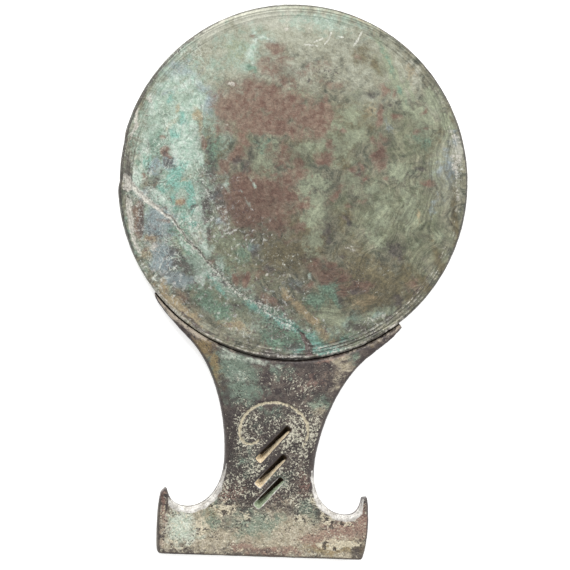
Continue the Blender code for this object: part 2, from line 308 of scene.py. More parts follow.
# Lines turned into the rim, clearest at the lower right, and rubbed away at the lower left and top.
rim_strength = 0.42 + 0.52 * ease(towards(-66), 0.6, 0.95)
rim_strength += 0.22 * mottle(solid, 11.0, 43)
rim_strength -= 0.35 * between(degrees, 196.0, 206.0, 250.0, 262.0)
rim_strength -= 0.16 * ease(towards(118), 0.5, 0.9)
rim = -FIELD_DROP / MM * ease(inset, 4.6, 6.4)
grooved = np.zeros(len(points))
ridged = np.zeros(len(points))
shift = 0.18 * mottle(solid, 9.0, 47)
for line_inset, line_depth in RIM_LINES:
    past = inset - line_inset + shift
    cut = np.exp(-((past / RIM_LINE_WIDTH) ** 2))
    rim -= line_depth * cut * np.clip(rim_strength, 0.0, 1.0)
    grooved = np.maximum(grooved, cut)
    ridged = np.maximum(ridged, np.exp(-(((past + RIM_LIP_OUT) / RIM_LIP_WIDTH) ** 2)))

# What burial did to the disc, with painted sheen, glints and shade among it. Each stain is a rough
# oval: its middle from the disc's centre, half its length, half its width (all in millimetres), its
# turn in degrees, and how strongly it covers.
DISC_STAINS = {
    "bloomed": (
        (-45, 30, 2.4, 4, 0, 0.9), (-35, -30, 4, 3, 0, 0.9), (-40, -20, 2.4, 2.4, 0, 0.8),
        (-60, 22, 20, 32, 8, 1.1), (-60, -22, 18, 24, -35, 1.0), (-48, -42, 24, 12, -45, 0.8),
        (-20, -62, 26, 9, -28, 0.7), (14, -76, 18, 7, 0, 0.8), (8, 81, 20, 5, -6, 0.75),
        (-30, 62, 14, 12, 0, 0.7), (36, -68, 18, 5, 25, 0.7), (-42, -8, 8, 20, 10, 0.7),
    ),
    # Pale, bleached skin, and over the top of the disc a painted sheen.
    "bleached_and_sheen": (
        (-24, 80, 10, 2.2, 15, 1.1), (-42, 71, 10, 3, 33, 1.1), (35, 75, 8, 2.2, -24, 1.0),
        (25, 80, 8, 2.2, -16, 1.0), (10, 58, 4, 4, 0, 0.95), (-80, 25, 3, 6, -14, 1.0),
        (-34, 66, 46, 20, 35, 1.0), (0, 76, 30, 14, 0, 1.0), (26, 62, 22, 15, -30, 0.85),
        (-66, 42, 22, 13, 60, 0.9), (-8, 56, 22, 9, 0, 0.8), (50, 56, 16, 10, -50, 0.75),
        (76, 10, 22, 6, -85, 0.8), (-22, -72, 13, 5, -18, 1.2), (-46, -73, 18, 3, -32, 1.0),
        (-78, 6, 7, 14, 0, 0.8), (-10, 71, 13, 7, 0, 1.1), (42, 68, 10, 6, -35, 1.0),
        (32, 41, 9, 9, 0, 0.8), (66, 40, 6, 9, -20, 0.75),
    ),
    "greened": (
        (45, 51, 4, 4, 0, 0.6), (51, 10, 4, 3, 0, 0.6), (70, 35, 3, 4, 0, 0.6),
        (38, 62, 6, 6, 28, 0.7), (24, 28, 18, 14, 20, 0.9), (58, 28, 16, 14, -40, 0.9),
        (10, 16, 12, 9, 40, 0.8), (46, -12, 17, 20, 20, 0.9), (66, -16, 14, 26, 5, 0.85),
        (26, -10, 10, 8, 40, 0.8), (-30, -34, 15, 8, -30, 0.9), (-20, -46, 14, 6, -20, 0.8),
        (-28, 20, 5, 8, 0, 0.8), (-16, 6, 8, 7, 50, 0.75), (-28, -64, 18, 7, -25, 0.9),
        (18, -62, 12, 9, -20, 0.9), (36, -72, 18, 5, 25, 0.9), (8, -76, 14, 9, 0, 0.8),
    ),
    # Darker, duller skin over the lower middle, deepened there with painted shade.
    "dull_and_shade": (
        (-36, -46, 8, 4, -40, 1.2), (-9, -43, 5, 6, 0, 1.1), (5, -45, 4, 3, 0, 1.1),
        (15, -52, 6, 4, 0, 1.1), (-8, -64, 8, 4, -28, 1.0), (8, -80, 8, 4, 0, 1.2),
        (40, -67, 6, 5, 20, 1.1), (56, -58, 4, 5, 40, 1.0), (54, -30, 6, 8, 0, 1.1),
        (56, -12, 5, 5, 0, 0.8), (36, -10, 4, 3, 0, 1.0), (20, -12, 3, 4, 0, 1.1),
        (16, -28, 4, 5, 0, 1.1), (2, 14, 6, 6, 0, 1.2), (30, 5, 3.6, 4, 0, 1.1),
        (-20, 7, 4, 5, 0, 1.0), (-36, -14, 4, 3, 0, 1.0), (-24, -27, 5, 5, 0, 1.0),
        (-45, -8, 3, 5, 0, 1.0), (-75, 13, 3, 4, 0, 0.8), (-70, -38, 4, 4, 30, 1.0),
        (17, 69, 5, 3, 0, 0.66), (81, 6, 2.6, 14, 4, 0.9), (-8, 55, 8, 4, 0, 0.9),
        (40, -47, 6, 4, 0, 1.0), (-20, -13, 26, 12, 0, 0.7), (-42, -14, 9, 20, 0, 0.8),
        (-2, -34, 26, 10, 0, 0.8), (14, -44, 22, 10, -12, 0.95), (38, -52, 26, 10, -6, 1.0),
        (-40, -58, 16, 10, -38, 0.95), (-24, -34, 14, 9, -30, 0.8), (10, -62, 26, 14, 0, 0.95),
        (26, -76, 24, 8, 20, 0.95), (44, -64, 20, 8, 28, 1.0), (-6, -74, 16, 8, 0, 0.8),
        (-50, -48, 11, 8, -30, 1.1), (-66, -30, 12, 14, 0, 0.65), (24, -2, 16, 12, 0, 0.6),
        (-34, -2, 8, 14, 0, 0.6), (60, -20, 14, 14, 20, 0.55), (-22, -60, 20, 7, -28, 1.0),
        (-14, -28, 14, 9, 0, 0.9), (22, -20, 8, 9, 0, 0.85), (20, 20, 8, 8, 0, 0.8),
        (42, 20, 7, 9, 0, 0.75), (62, 30, 6, 7, 0, 0.75), (73, 7, 6, 10, 0, 0.8),
        (-42, -47, 10, 8, -40, 1.1), (-38, -70, 8, 4, -30, 0.9), (-8, -28, 16, 12, 0, 1.0),
        (-14, 14, 9, 8, 0, 0.8), (-50, 16, 3, 8, 0, 0.8), (-68, -42, 5, 5, 0, 0.8),
    ),
    "celadon": (
        (20, 30, 4, 3, 0, 0.8), (5, 20, 4, 3, 0, 0.8), (12, 0, 5, 3, 0, 0.95),
        (6, -4.5, 6, 2.6, 10, 0.95), (40, 0, 4, 3, 0, 0.95), (53, 10, 5, 4, 0, 1.0),
        (26, 35, 5, 4, 0, 0.95), (66, 48, 5, 5, 0, 1.0), (75, 34, 2.6, 7, 20, 0.95),
        (60, 40, 4, 4, 0, 0.9), (9, -19.5, 4.4, 2.8, 0, 1.0), (45, -25, 4, 3, 0, 0.9),
        (75, -20, 3, 4, 0, 0.9), (0, 45, 4, 3, 0, 0.9), (45.5, 58, 1.9, 17, 28, 1.35),
        (54, 52, 1.2, 12, 26, 0.85), (-58, -31, 8, 3.4, -48, 1.25), (-34, 64, 6, 5, 0, 0.8),
        (-14, 13, 6, 8, 10, 0.95), (-20, 7, 3, 8, -20, 0.95), (0, 16, 5, 3, 0, 0.7),
        (8, 2, 6, 4, 0, 0.9), (20, 20, 6, 7, 0, 0.9), (28, 26, 7, 5, 0, 0.85),
        (30, 4, 5, 8, 0, 0.7), (12, -12, 6, 7, 0, 1.0), (13, -28, 4, 7, -20, 0.9),
        (45, -12, 7, 12, 0, 0.8), (60, -8, 6, 16, 8, 0.7), (64, 34, 5, 9, -10, 0.75),
        (70, 14, 5, 10, 0, 0.6), (-26, -36, 8, 5, -30, 0.8), (24, -65, 8, 5, -20, 0.95),
        (47, -63, 7.4, 2.4, 28, 1.05), (12, 22, 7, 6, 20, 0.75), (34, -80, 12, 2.4, 16, 0.8),
        (-36, -20, 3, 7, 0, 0.7),
    ),
    "olive": (
        (15, -28, 3.6, 5, 0, 1.1), (45, -46, 21, 9, -8, 1.0), (42, -56, 11, 4, 4, 1.0),
        (36, -36, 12, 7, -20, 0.8), (60, -44, 8, 9, 40, 0.9), (0, -36, 20, 10, 10, 0.85),
        (6, -22, 14, 8, -20, 0.75), (27, -18, 4, 9, 10, 0.8), (29, 35, 9, 7, 0, 0.75),
        (24, 16, 5, 9, 10, 0.75), (84, -14, 1.8, 17, 12, 0.9), (-78, 36, 2.6, 12, -25, 0.85),
        (-42, 14, 4.4, 12, 4, 0.85), (78, -33, 2.4, 12, 24, 0.95), (70, -46, 2.2, 8, 38, 0.9),
        (73, 34, 3, 14, -22, 0.66), (29, 66, 6, 4.5, -20, 0.85), (36, 64, 2.4, 7, 30, 0.75),
        (-6, 18, 8, 6, 30, 0.6),
    ),
    "cuprite": (
        (-20, 55, 3, 3, 0, 0.8), (-15, 55, 6, 4, -30, 0.72), (38, 25, 3, 2.4, 0, 0.8),
        (43, 25, 2.4, 3, 0, 0.85), (41.5, 19, 3.2, 5, 10, 0.95), (44, 13, 2, 4, -25, 0.85),
        (34, 11, 2.6, 2.2, 0, 0.75), (36, 6, 2, 3, 0, 0.7), (-36, 33, 7, 9, 20, 1.0),
        (-22, 44, 12, 6, -10, 0.85), (-28, 27, 6, 4, 0, 1.05), (12, 38, 8, 5, -25, 0.9),
        (-20, -10, 14, 12, -30, 1.1), (-8, -16, 9, 6, -20, 0.9), (-2, 2, 10, 5, 20, 0.75),
        (-31, 36, 12, 10, 5, 1.05), (-12, 38, 15, 9, -12, 1.05), (5, 33, 11, 7, -18, 1.05),
        (-15, 28, 20, 5, -4, 1.1), (12, 27, 4, 4, 0, 1.0), (17, 21, 3, 2.2, -50, 0.95),
        (15, 13, 4.5, 3.5, 25, 0.95), (1, 9, 3, 5, 0, 0.85), (-8, 13, 7, 8, 20, 0.72),
        (-27, 20, 2.2, 6, 10, 0.9), (-31, 11, 3, 7, -25, 0.95), (-36, 4, 4, 3, 45, 0.9),
        (-14, -6, 17, 9, -22, 0.95), (-22, -16, 9, 7, -40, 1.1), (-2, -8, 7, 4, 12, 0.9),
        (3, -21, 3.4, 3, 0, 0.85), (-8, -24, 7, 3, -38, 0.85), (6, -10.5, 5, 2, 6, 0.85),
        (-15, 66, 6, 3, -6, 0.78), (-26, 69, 2.6, 1.3, -20, 0.75), (-20, 59, 5, 2.4, 40, 0.8),
        (-12, 60, 6, 5, -60, 0.66), (-10, 50, 12, 5, -10, 0.6), (4, 56, 9, 4, 20, 0.55),
        (14, 50, 8, 3, -10, 0.55), (41, 50, 2.4, 3, 30, 0.8), (46.5, 49, 1.4, 2.4, 0, 0.72),
        (26, 64.5, 2.2, 1.6, -30, 0.7), (50, 37, 2.8, 2.2, -20, 0.8), (62, 42, 1.4, 2.2, -30, 0.72),
        (60, 32, 2.2, 1.7, 20, 0.75), (65, 34, 1.4, 1.1, 0, 0.7), (40.5, 37, 1.4, 5, 0, 0.85),
        (22.5, 27.5, 2.2, 1.2, 20, 0.75), (68, 5, 3, 2, 0, 0.8), (47, 6.5, 2.2, 1.7, 0, 0.85),
        (29.5, 8.5, 2.8, 1.8, 0, 0.8), (21, -5, 5, 2.2, 45, 0.8), (35, -6.5, 3, 1.4, 5, 0.8),
        (28, -10, 2, 1.6, 0, 0.7), (15, -41, 3, 2.6, 0, 0.95), (22, -40, 6, 1.8, 0, 0.9),
        (29, -44, 3.6, 2.6, -20, 0.95), (20, -46, 8, 2.6, -30, 0.85), (13, -51, 3.4, 1.7, 40, 0.95),
        (28, -51, 5, 2.2, -20, 0.95), (38, -49, 6, 2.2, 14, 0.95), (64, -47, 4, 3.4, 60, 0.7),
        (-25, -50, 1.7, 2.8, 10, 1.2), (-19, -50, 1.8, 2.8, -10, 1.2),
        (-37.5, -43, 2.8, 1.4, -50, 0.9), (-7, -60, 4, 2, -22, 1.2), (-12, -46, 5, 3, 20, 0.6),
        (-77, -24, 2.8, 8, 4, 1.2), (-65.5, 10.3, 2.4, 1.5, 0, 1.4), (-68, 17.5, 1.5, 1.2, 0, 1.2),
        (-55.5, -14.5, 2, 1.5, 0, 1.1), (-69.5, -35, 3, 1.6, 0, 1.0), (-41, 22, 2, 5, 0, 0.85),
        (-46.5, 15, 1.6, 4, 10, 0.9), (-70.5, -6, 1.4, 4.5, 0, 0.62),
        (-76, -3.5, 1.6, 1.8, 0, 0.85), (-51, -61, 4, 2, -40, 0.8), (-64, -25, 4.5, 1.2, -12, 0.75),
    ),
    "oxblood": (
        (-10, 25, 3, 3.4, 0, 0.8), (37, -50, 6, 2.6, 8, 0.85),
        (-22, -12, 12, 12, -35, 1.1), (-8, -6, 9, 7, 0, 0.9), (-30, -6, 6, 8, 20, 0.85),
        (-6, -22, 9, 4, -30, 0.85), (0, -7.5, 6, 3, 12, 0.75), (15, 13, 4, 3, 25, 0.75),
        (-28, 10, 3, 7, -20, 0.7), (20, -44, 10, 5, -20, 0.9), (28, -50, 7, 3, -20, 0.85),
        (-22, -50, 4, 3, 0, 0.75), (-2, 32, 14, 5, -10, 0.6), (41, 18, 3, 5, 0, 0.75),
    ),
    "ochre": (
        (36, 40, 3, 5, 0, 0.58), (3, -56, 4.6, 2, -40, 1.0), (9, -62, 5, 2.2, -46, 1.05),
        (15, -68, 4.6, 2.4, -44, 1.05), (20, -74, 3.4, 2.8, -60, 0.95), (27, -78, 3.4, 1.6, 0, 0.8),
        (40, -57, 8, 3.4, 12, 0.6), (-55.5, -13.5, 2.6, 2, 0, 0.95), (-46, -31, 2.4, 3, 30, 0.9),
        (-70, -35, 3.8, 2.6, 0, 0.95), (-72, -41, 2, 3.4, 25, 0.85), (-62, 26, 3.6, 1.1, 22, 1.05),
        (-66, 22, 2.4, 1.2, 50, 0.9), (-51.5, 31, 1.6, 4.6, 5, 1.1), (-61, 33, 1, 3, 0, 0.9),
        (-61, -57, 4, 2.4, -50, 0.95), (-50, -69, 14, 3, -38, 1.05), (-24, -73, 10, 3, -20, 0.8),
        (-50, 24, 1.2, 6, 6, 0.7), (25, 84, 5, 1.2, -18, 0.8), (53, 60, 3, 8, 32, 0.55),
        (64, -12, 1.2, 4, 20, 0.7), (-56, -3, 4, 1.4, 50, 0.7),
    ),
    "slate": (
        (-66, -27, 7, 8, -20, 1.2), (-63, -42, 5, 9, 22, 1.2), (-55, -53, 9, 3.4, -10, 1.0),
        (-60, 50, 9, 6, 0, 0.65), (-50, 43, 8, 4, -15, 0.62), (-46, 36, 3, 5, 0, 0.85),
        (-63, 4.5, 3.4, 3.6, 0, 1.4), (-71, 3, 4, 5, 0, 0.85), (-69, 40, 8, 2, 20, 0.6),
        (-74, -12, 5, 4, 0, 0.75), (78, 14, 3, 10, 5, 0.62), (72, 12, 4, 8, 0, 0.5),
        (80, 27, 2.4, 6, 18, 0.7), (45, 33, 3.4, 4, 0, 0.5), (72, -6, 2.6, 7, 6, 0.5),
        (4, -49, 6, 4, -20, 0.5), (-38, -10, 4, 4, 0, 0.7), (-17, -35, 3, 5, 35, 0.72),
        (-35, -21, 4, 5, 10, 0.65), (-30, -15, 3, 4, 0, 0.6),
    ),
    "malachite": (
        (-5, -65.5, 7, 3, -28, 1.0), (7, -78, 6, 3.4, 0, 1.1), (2, -71.5, 6, 2.6, -25, 0.9),
        (-50, -20, 3, 2.2, 0, 0.9), (-30, -70, 5, 2.6, -20, 0.95), (18, -56, 5, 3, 0, 0.85),
        (-41, 12, 3.4, 9, 0, 0.75), (-72, 14, 3, 6, 0, 0.75),
        (-79, 6, 1.6, 8, -4, 0.8), (-55, -18, 3, 2, 0, 1.0), (-26, 55, 4, 2, -20, 0.7),
        (43.5, 62, 0.9, 13, 28, 0.64), (49.5, 52, 0.9, 11, 28, 0.64), (40, 66, 0.5, 9, 30, 0.8),
        (62, 26, 6, 4, 0, 0.6), (-55, -30, 6, 4.4, -30, 0.85), (-53, -37, 6, 2.2, -42, 0.95),
        (-38, -63, 8, 4, -30, 1.1), (-30, -66, 6, 3, -20, 1.0), (0, -77, 9, 6, -10, 1.15),
        (-4, -68, 8, 3, -25, 0.8), (22, -51.5, 5, 2.6, 0, 1.1), (27, -56, 2, 4, 24, 1.1),
        (15, -58, 5, 4, -30, 1.0), (-46, -57, 6, 2, 8, 0.8), (18, -80, 7, 4, 0, 0.95),
        (34, -75, 5, 2, 20, 0.85), (-22, -38, 5, 6, 20, 0.7), (-32, -46, 6, 4, -10, 0.7),
        (-17, 17, 4, 3, 40, 0.65),
    ),
    "mint": (
        (-58, 45, 8, 5, 10, 0.75), (49, -62.5, 5, 2, 28, 0.8), (-60, -35, 4, 2.6, 0, 0.75),
        (-80, -5, 2.6, 9, 3, 0.95), (-57, 17, 6, 14, 6, 1.15), (-50, 8, 2.4, 4, 30, 0.9),
        (-52, 36, 4, 5, 0, 0.95), (-63, 22, 4, 7, 0, 0.9), (-77, 8, 3.6, 10, -8, 0.74),
        (-72, 22, 4, 6, 0, 0.56), (-68, 43, 4, 2.4, 20, 0.85), (-26, 63, 2.4, 6, -14, 0.75),
        (-20, 71, 6, 1.7, -8, 0.66), (8, 82, 12, 3, -4, 0.55), (-46, -22, 3.4, 8, 20, 0.9),
        (-47, -10, 3, 5, 0, 0.85), (-42, -35, 5, 2.4, -40, 0.85), (-49, -28, 7, 1.8, -48, 0.95),
        (-52, -36, 6, 1.4, -46, 0.95), (-36, -50, 8, 1.6, -42, 0.85), (-41.5, -50, 2.4, 6, 0, 0.9),
        (-33, -44, 3, 3, 0, 0.7), (12, -47, 1.2, 1.6, 0, 0.8), (-74, 35, 4, 5, 0, 0.8),
        (-66, -14, 8, 2.4, -32, 0.9), (-34, -4, 1.4, 4, 20, 0.75), (-21, -2, 0.8, 3, 40, 0.6),
        (-24, -10, 0.7, 4.5, 50, 0.64),
    ),
    "turquoise": (
        (-62, -2, 3.4, 6.4, -20, 1.05), (-66, -8, 2.4, 3.4, 30, 0.85), (-58, -6.5, 4, 1.7, 20, 1.0),
        (-52.5, -8, 2.2, 4, 20, 1.2), (-62, -1, 3.4, 4, 0, 1.1), (-50.5, -14.5, 1.7, 4, 0, 1.1),
        (-60, -13, 1.5, 4, 0, 0.9), (-54, -21, 5, 3, -20, 0.72), (-50, -24.5, 3, 2, 0, 1.0),
        (-58, 27, 3.4, 4, 0, 0.75), (-62, 19, 3, 3.4, 0, 0.85), (-65, 37, 2, 3, 0, 0.75),
        (-58, 3, 3, 4, 0, 0.75), (-75, 4, 2.4, 4, 0, 0.7), (-37, -52, 4, 1.8, -42, 0.7),
        (-31, -57, 5, 1.8, -42, 0.75), (-14, -64, 8, 2.4, -36, 0.75), (-3, -69, 7, 2, -26, 0.9),
        (6, -71, 7, 1.6, -30, 1.0), (15, -77, 3, 3, -40, 0.85), (19, -82, 6, 2.4, 0, 1.2),
        (27, -81, 6, 1.8, 8, 1.0), (10, -83, 3, 2.4, 0, 0.9), (31, -76, 3, 1.6, 20, 0.66),
        (-8, -67, 3, 4, 0, 0.66),
    ),
    "tenorite": (
        (-42.5, -74, 9, 0.8, -30, 1.4), (7, -81, 5, 2.4, 0, 0.8), (-37, -14, 3, 2.4, 0, 0.75),
        (-64, 5, 2.4, 3, 0, 1.1), (-66, 9.5, 1.8, 0.8, 0, 0.85), (-69, -5, 2.2, 5, 0, 0.62),
        (-75.4, -25, 1.4, 7, 4, 1.1), (-44, 14, 1.6, 9, 4, 0.7), (-42, 4, 3.2, 8, 0, 0.8),
        (-49, 29, 0.6, 7, 4, 0.66), (-30, 8, 1.5, 4, 0, 0.75), (-24, 8, 3, 8, -20, 0.62),
        (-38, -10, 4.4, 3.4, 0, 0.8), (-43.5, -17, 1.2, 5, 0, 0.75), (-43, -21, 2, 1.6, 0, 0.9),
        (-40.5, -28, 1.3, 2.6, 0, 1.0), (-50, -18.5, 4, 1, 32, 0.9), (-57, -40, 3.4, 3.6, 0, 0.85),
        (-52, -46, 7, 3.2, -30, 0.9), (-12.5, -61, 3.4, 1.6, -30, 1.0),
        (-28.5, -54, 2.4, 1.1, -40, 1.0), (-36, -49.5, 1.6, 1.1, 0, 0.9), (-17, -36, 2, 5, 35, 0.8),
        (-9, -43, 4, 1.8, 0, 0.8), (19, -22, 3.4, 6.4, 0, 0.7), (29, -16, 1.6, 3.4, 30, 0.85),
        (54, -28, 4.4, 3.6, 0, 0.95), (57, -33, 1.6, 2, 0, 0.85), (36.5, -51, 3.4, 1.6, 0, 0.95),
        (57, -55, 2.4, 3.4, 0, 0.95), (53, -65, 5, 1.4, 28, 0.9), (38, -70, 6, 3, 10, 0.85),
        (29, -58, 1.6, 5, 20, 0.7), (0, -86.2, 16, 1.6, 0, 1.05), (35, 47, 2.6, 1.7, -40, 0.85),
        (44.5, 42.5, 1.8, 0.9, 0, 0.85), (3, 52, 0.7, 0.8, 0, 1.0), (64, 13, 2.2, 1.6, 0, 0.8),
        (37, 34, 1.2, 1.2, 0, 0.7), (-84, -2, 1.6, 12, 3, 0.9), (27, -34, 2, 1.4, 0, 0.8),
        (-49, -61, 4, 1.5, -40, 0.7), (-24, -64, 4, 2, 0, 0.75), (33, 9, 2, 2.4, 0, 0.6),
        (8, -53, 5, 1.8, -20, 0.7),
    ),
    "crumbs": (
        (-62, 0, 18, 34, 0, 0.3), (-48, -26, 16, 12, -40, 0.44), (-42, -12, 5, 20, 8, 0.48),
        (-34, -48, 18, 5, -38, 0.46), (-8, -64, 20, 5, -28, 0.42), (0, -38, 26, 12, -8, 0.32),
        (10, -52, 14, 8, 0, 0.3), (12, 56, 22, 16, 0, 0.28), (44, -44, 24, 14, 0, 0.28),
        (44, -70, 20, 7, 28, 0.4), (26, -82, 26, 4, 8, 0.4), (82, 16, 4, 22, 8, 0.42),
        (-78, -20, 6, 26, 14, 0.44), (-80, 14, 4, 16, 0, 0.4), (-38, -20, 12, 14, 0, 0.42),
    ),
    "pinholes": (
        (-62, -4, 18, 26, 0, 0.3), (-42, -14, 6, 20, 6, 0.5), (-60, -38, 14, 12, -30, 0.44),
        (-33, -48, 16, 6, -38, 0.46), (-8, -63, 20, 5, -28, 0.42), (-8, 44, 30, 26, 0, 0.3),
        (12, 58, 18, 14, 0, 0.36), (34, -42, 30, 20, 0, 0.4), (8, -36, 20, 12, 0, 0.38),
        (44, -72, 16, 6, 28, 0.44), (-12, 12, 18, 18, 0, 0.32), (-74, 0, 6, 12, 0, 0.42),
        (-68, -32, 10, 20, 20, 0.46), (0, -74, 40, 10, 0, 0.42),
    ),
    # Chalk on the rim and by the break; the strokes on the right rim are painted glints.
    "chalk_and_glints": (
        (-80.6, -24, 1.3, 9, 12, 1.2), (-77, -37, 1.4, 5, 28, 0.95), (-68, -38, 4, 1.5, -8, 0.74),
        (-83, -8, 2.4, 3, 0, 0.8), (-82.6, 22, 0.7, 11, -16, 0.95), (-40, 80, 9, 0.9, 26, 0.75),
        (-35, 46.5, 2.2, 1.1, 0, 0.85), (-75, 36, 2.4, 2, 0, 0.8), (-9, 76, 3, 1.6, 0, 0.7),
        (82, 16, 1.8, 10, 10, 0.63), (83.6, 2, 1.6, 9, 2, 0.5), (79, 30, 1.8, 5, 22, 0.68),
        (-8.6, -48, 0.7, 0.7, 0, 1.0), (31, -31, 3, 1.4, 0, 0.65), (48, -63, 6, 1.4, 28, 0.48),
        (-36, 26, 1, 1, 0, 0.6),
    ),
    # Painted sheen: a pale wash along the top of the rim, and a glint on the right rim.
    "ashen_sheen": (
        (-22, 81.5, 34, 5, 0, 0.95), (-49, 70, 12, 3.6, 38, 0.85), (81, 25, 2.4, 5, 10, 1.0),
        (56, 60, 4, 2.4, -45, 0.8),
    ),
}

# The break: a chalky band from the left edge, a thin dark line, then loose grains to the lower edge.
# Each row is one place along it, counted in points of its route: its depth in millimetres, how
# chalky and how dark it is, how far the chalk reaches to each side, and how thick the crumbs lie.
BREAK_LOOKS = (
    (0.0, 0.7, 1.05, 0.3, 1.5, 0.44),
    (4.0, 0.6, 1.15, 0.4, 1.0, 0.42),
    (4.8, 0.8, 1.15, 0.75, 0.9, 0.4),
    (7.0, 0.7, 0.95, 0.75, 0.8, 0.38),
    (8.0, 0.3, 0.75, 0.5, 0.9, 0.38),
    (9.5, 0.3, 0.62, 0.35, 1.2, 0.43),
    (12.0, 0.4, 0.52, 0.45, 1.3, 0.45),
    (13.0, 0.9, 0.0, 0.7, 1.1, 0.2),
    (15.0, 0.9, 0.0, 0.7, 1.1, 0.1),
)
CRUMBS_REACH = 9.0

# Scratches that go through the skin, from end to end.
SCRATCH_DEPTH = 0.8
SCRATCH_SPREAD = 1.3
SCRATCHES = (
    ((9.6, 70.0), (11.2, 73.0), (12.2, 76.4)),
    ((15.4, 74.6), (18.8, 74.2)),
    ((23.8, 70.6), (25.2, 72.6)),
    ((25.4, 73.0), (27.6, 78.2)),
    ((-0.6, 69.2), (6.0, 68.6)),
    ((4.0, 70.6), (8.2, 73.2)),
)

wobble = np.column_stack([mottle(solid, 4.0, 51), mottle(solid, 4.0, 52)])
away, reach = beside(places + 0.7 * wobble, BREAK_ROUTE)
gap_width = np.interp(reach, range(len(BREAK_WIDTHS)), BREAK_WIDTHS)
lengthwise, *looks = np.array(BREAK_LOOKS).T
gap_depth, chalkiness, darkness, chalk_reach, crumbling = (
    np.interp(reach, lengthwise, look) for look in looks
)
gap = np.exp(-((away / (0.75 * gap_width)) ** 2)) * front
dark_by_break = darkness * gap
chalk_by_break = chalkiness * (1.0 - away / (2.0 * chalk_reach))
chalk_by_break -= 0.7 * dark_by_break * (reach > 4.0)
crumbs_by_break = crumbling * (1.0 - away / CRUMBS_REACH)

# The back was stained apart from the face, so it takes the same minerals the other way round.
sides = np.where(back[:, None], places * (-1.0, 1.0), places)
skin = {}
for number, (name, rows) in enumerate(DISC_STAINS.items()):
    skin[name] = stains(sides, rows, 60 + 3 * number)
deepen(skin, "chalk_and_glints", chalk_by_break, front)
deepen(skin, "tenorite", dark_by_break)
for name in ("crumbs", "pinholes"):
    deepen(skin, name, crumbs_by_break, front)

# Dark specks and loose flakes lie thickest at the lower left, and few of them on red and olive.
lower_left = ease(-places @ np.array((0.8, 0.6)), 0.0, 50.0)
deepen(skin, "tenorite", 0.62 * ease(mottle(solid, 1.6, 55), 0.75, 1.2) * lower_left)
flaking = ease(lower_left, 0.0, 0.6) * (1.0 - 0.35 * ease(y - x, 44.0, 60.0))
skin["flaked"] = (0.3 + 0.08 * mottle(solid, 9.0, 74)) * flaking
skin["flecked"] = (0.29 + 0.08 * mottle(solid, 9.0, 77)) * flaking
skin["flecked"] -= 0.05 * ease(np.maximum(skin["cuprite"], skin["olive"]), 0.45, 0.7)
deepen(skin, "flaked", 1.7 * gap * ease(reach, 12.4, 13.0))

# The edge is darkest at the left and the lower right, and thin at the top. Across the bottom, above
# the seam, it is darkened with painted shade; over the handle's arms beside that it is clean, where
# lime lies on it.
left_edge = ease(towards(168), 0.62, 0.9) * fade(inset, 0.8, 2.2)
right_edge = ease(towards(-18), 0.2, 0.6) * fade(inset, 0.7, 1.3)
thin_edge = 0.85 * (degrees < 200.0) * fade(inset, 0.4, 0.9)
# Painted shade along the bottom of the edge, where it overhangs the seam.
seam_shaded_edge = between(degrees, 243.0, 254.0, 280.0, 284.0) * fade(inset, 0.6, 1.3)
edge_dark_and_shade = np.max([left_edge, right_edge, thin_edge, seam_shaded_edge], axis=0)
deepen(skin, "tenorite", edge_dark_and_shade * (1.0 + 0.3 * mottle(solid, 7.0, 56)))
lined = np.clip(rim_strength - 0.1 + 0.4 * mottle(solid, 5.0, 72), 0.0, 1.0)
deepen(skin, "tenorite", 0.72 * lined * grooved)
deepen(skin, "chalk_and_glints", 0.56 * lined * ridged)
over_arms = between(degrees, 212.0, 218.0, 312.0, 318.0) * fade(inset, 1.4, 2.0)
over_arms *= 1.0 - seam_shaded_edge
deepen(skin, "chalk_and_glints", (0.45 + 0.3 * mottle(solid, 5.0, 73)) * over_arms * ~back)

# Scratches, and where the lathe's lines, the polishing strokes, the veins and the grain show.
skin["scratched"] = np.zeros(len(places))
for scratch in SCRATCHES:
    from_scratch = beside(places + 0.25 * wobble, scratch)[0]
    deepen(skin, "scratched", SCRATCH_DEPTH - from_scratch / SCRATCH_SPREAD, front)
skin["turned"] = np.clip(0.5 + 0.5 * towards(135), 0, 1) * fade(inset, 5, 9)
skin["turned"] += np.clip(rim_strength, 0.0, 1.0) * fade(inset, 6.0, 7.5)
skin["brushed"] = ease(x, -34.0, 0.0) * (0.4 + 0.6 * ease(x - 0.5 * y, 20.0, 60.0))
skin["crazed"] = fade(x, -52.0, -40.0) * np.clip(0.5 + 0.5 * mottle(solid, 12.0, 79), 0.0, 1.0)
skin["coarse"] = 0.6 + 0.35 * ease(-places @ np.array((0.7, 0.7)), -50.0, 30.0)

# How high each mineral stands above the turned bronze, or how deep it has eaten in, in millimetres.
CRUSTS = {
    "bleached_and_sheen": 0.03,
    "mint": 0.12,
    "turquoise": 0.14,
    "malachite": 0.09,
    "chalk_and_glints": 0.13,
    "ochre": 0.06,
    "cuprite": -0.09,
    "tenorite": -0.24,
}
relief = 0.07 * mottle(solid, 16.0, 57) + 0.05 * mottle(solid, 2.4, 58)
for name, height in CRUSTS.items():
    relief += height * ease(skin[name], 0.42, 0.6)
green_crust = np.max([skin[name] for name in ("mint", "turquoise", "malachite")], axis=0)
relief += 0.09 * ease(green_crust, 0.4, 0.6) * mottle(solid, 1.4, 59)
step = FRAGMENT_PROUD * 0.6 * ease(-places @ np.array((0.66, 0.75)), 60.0, 64.0)
relief += step - gap * gap_depth

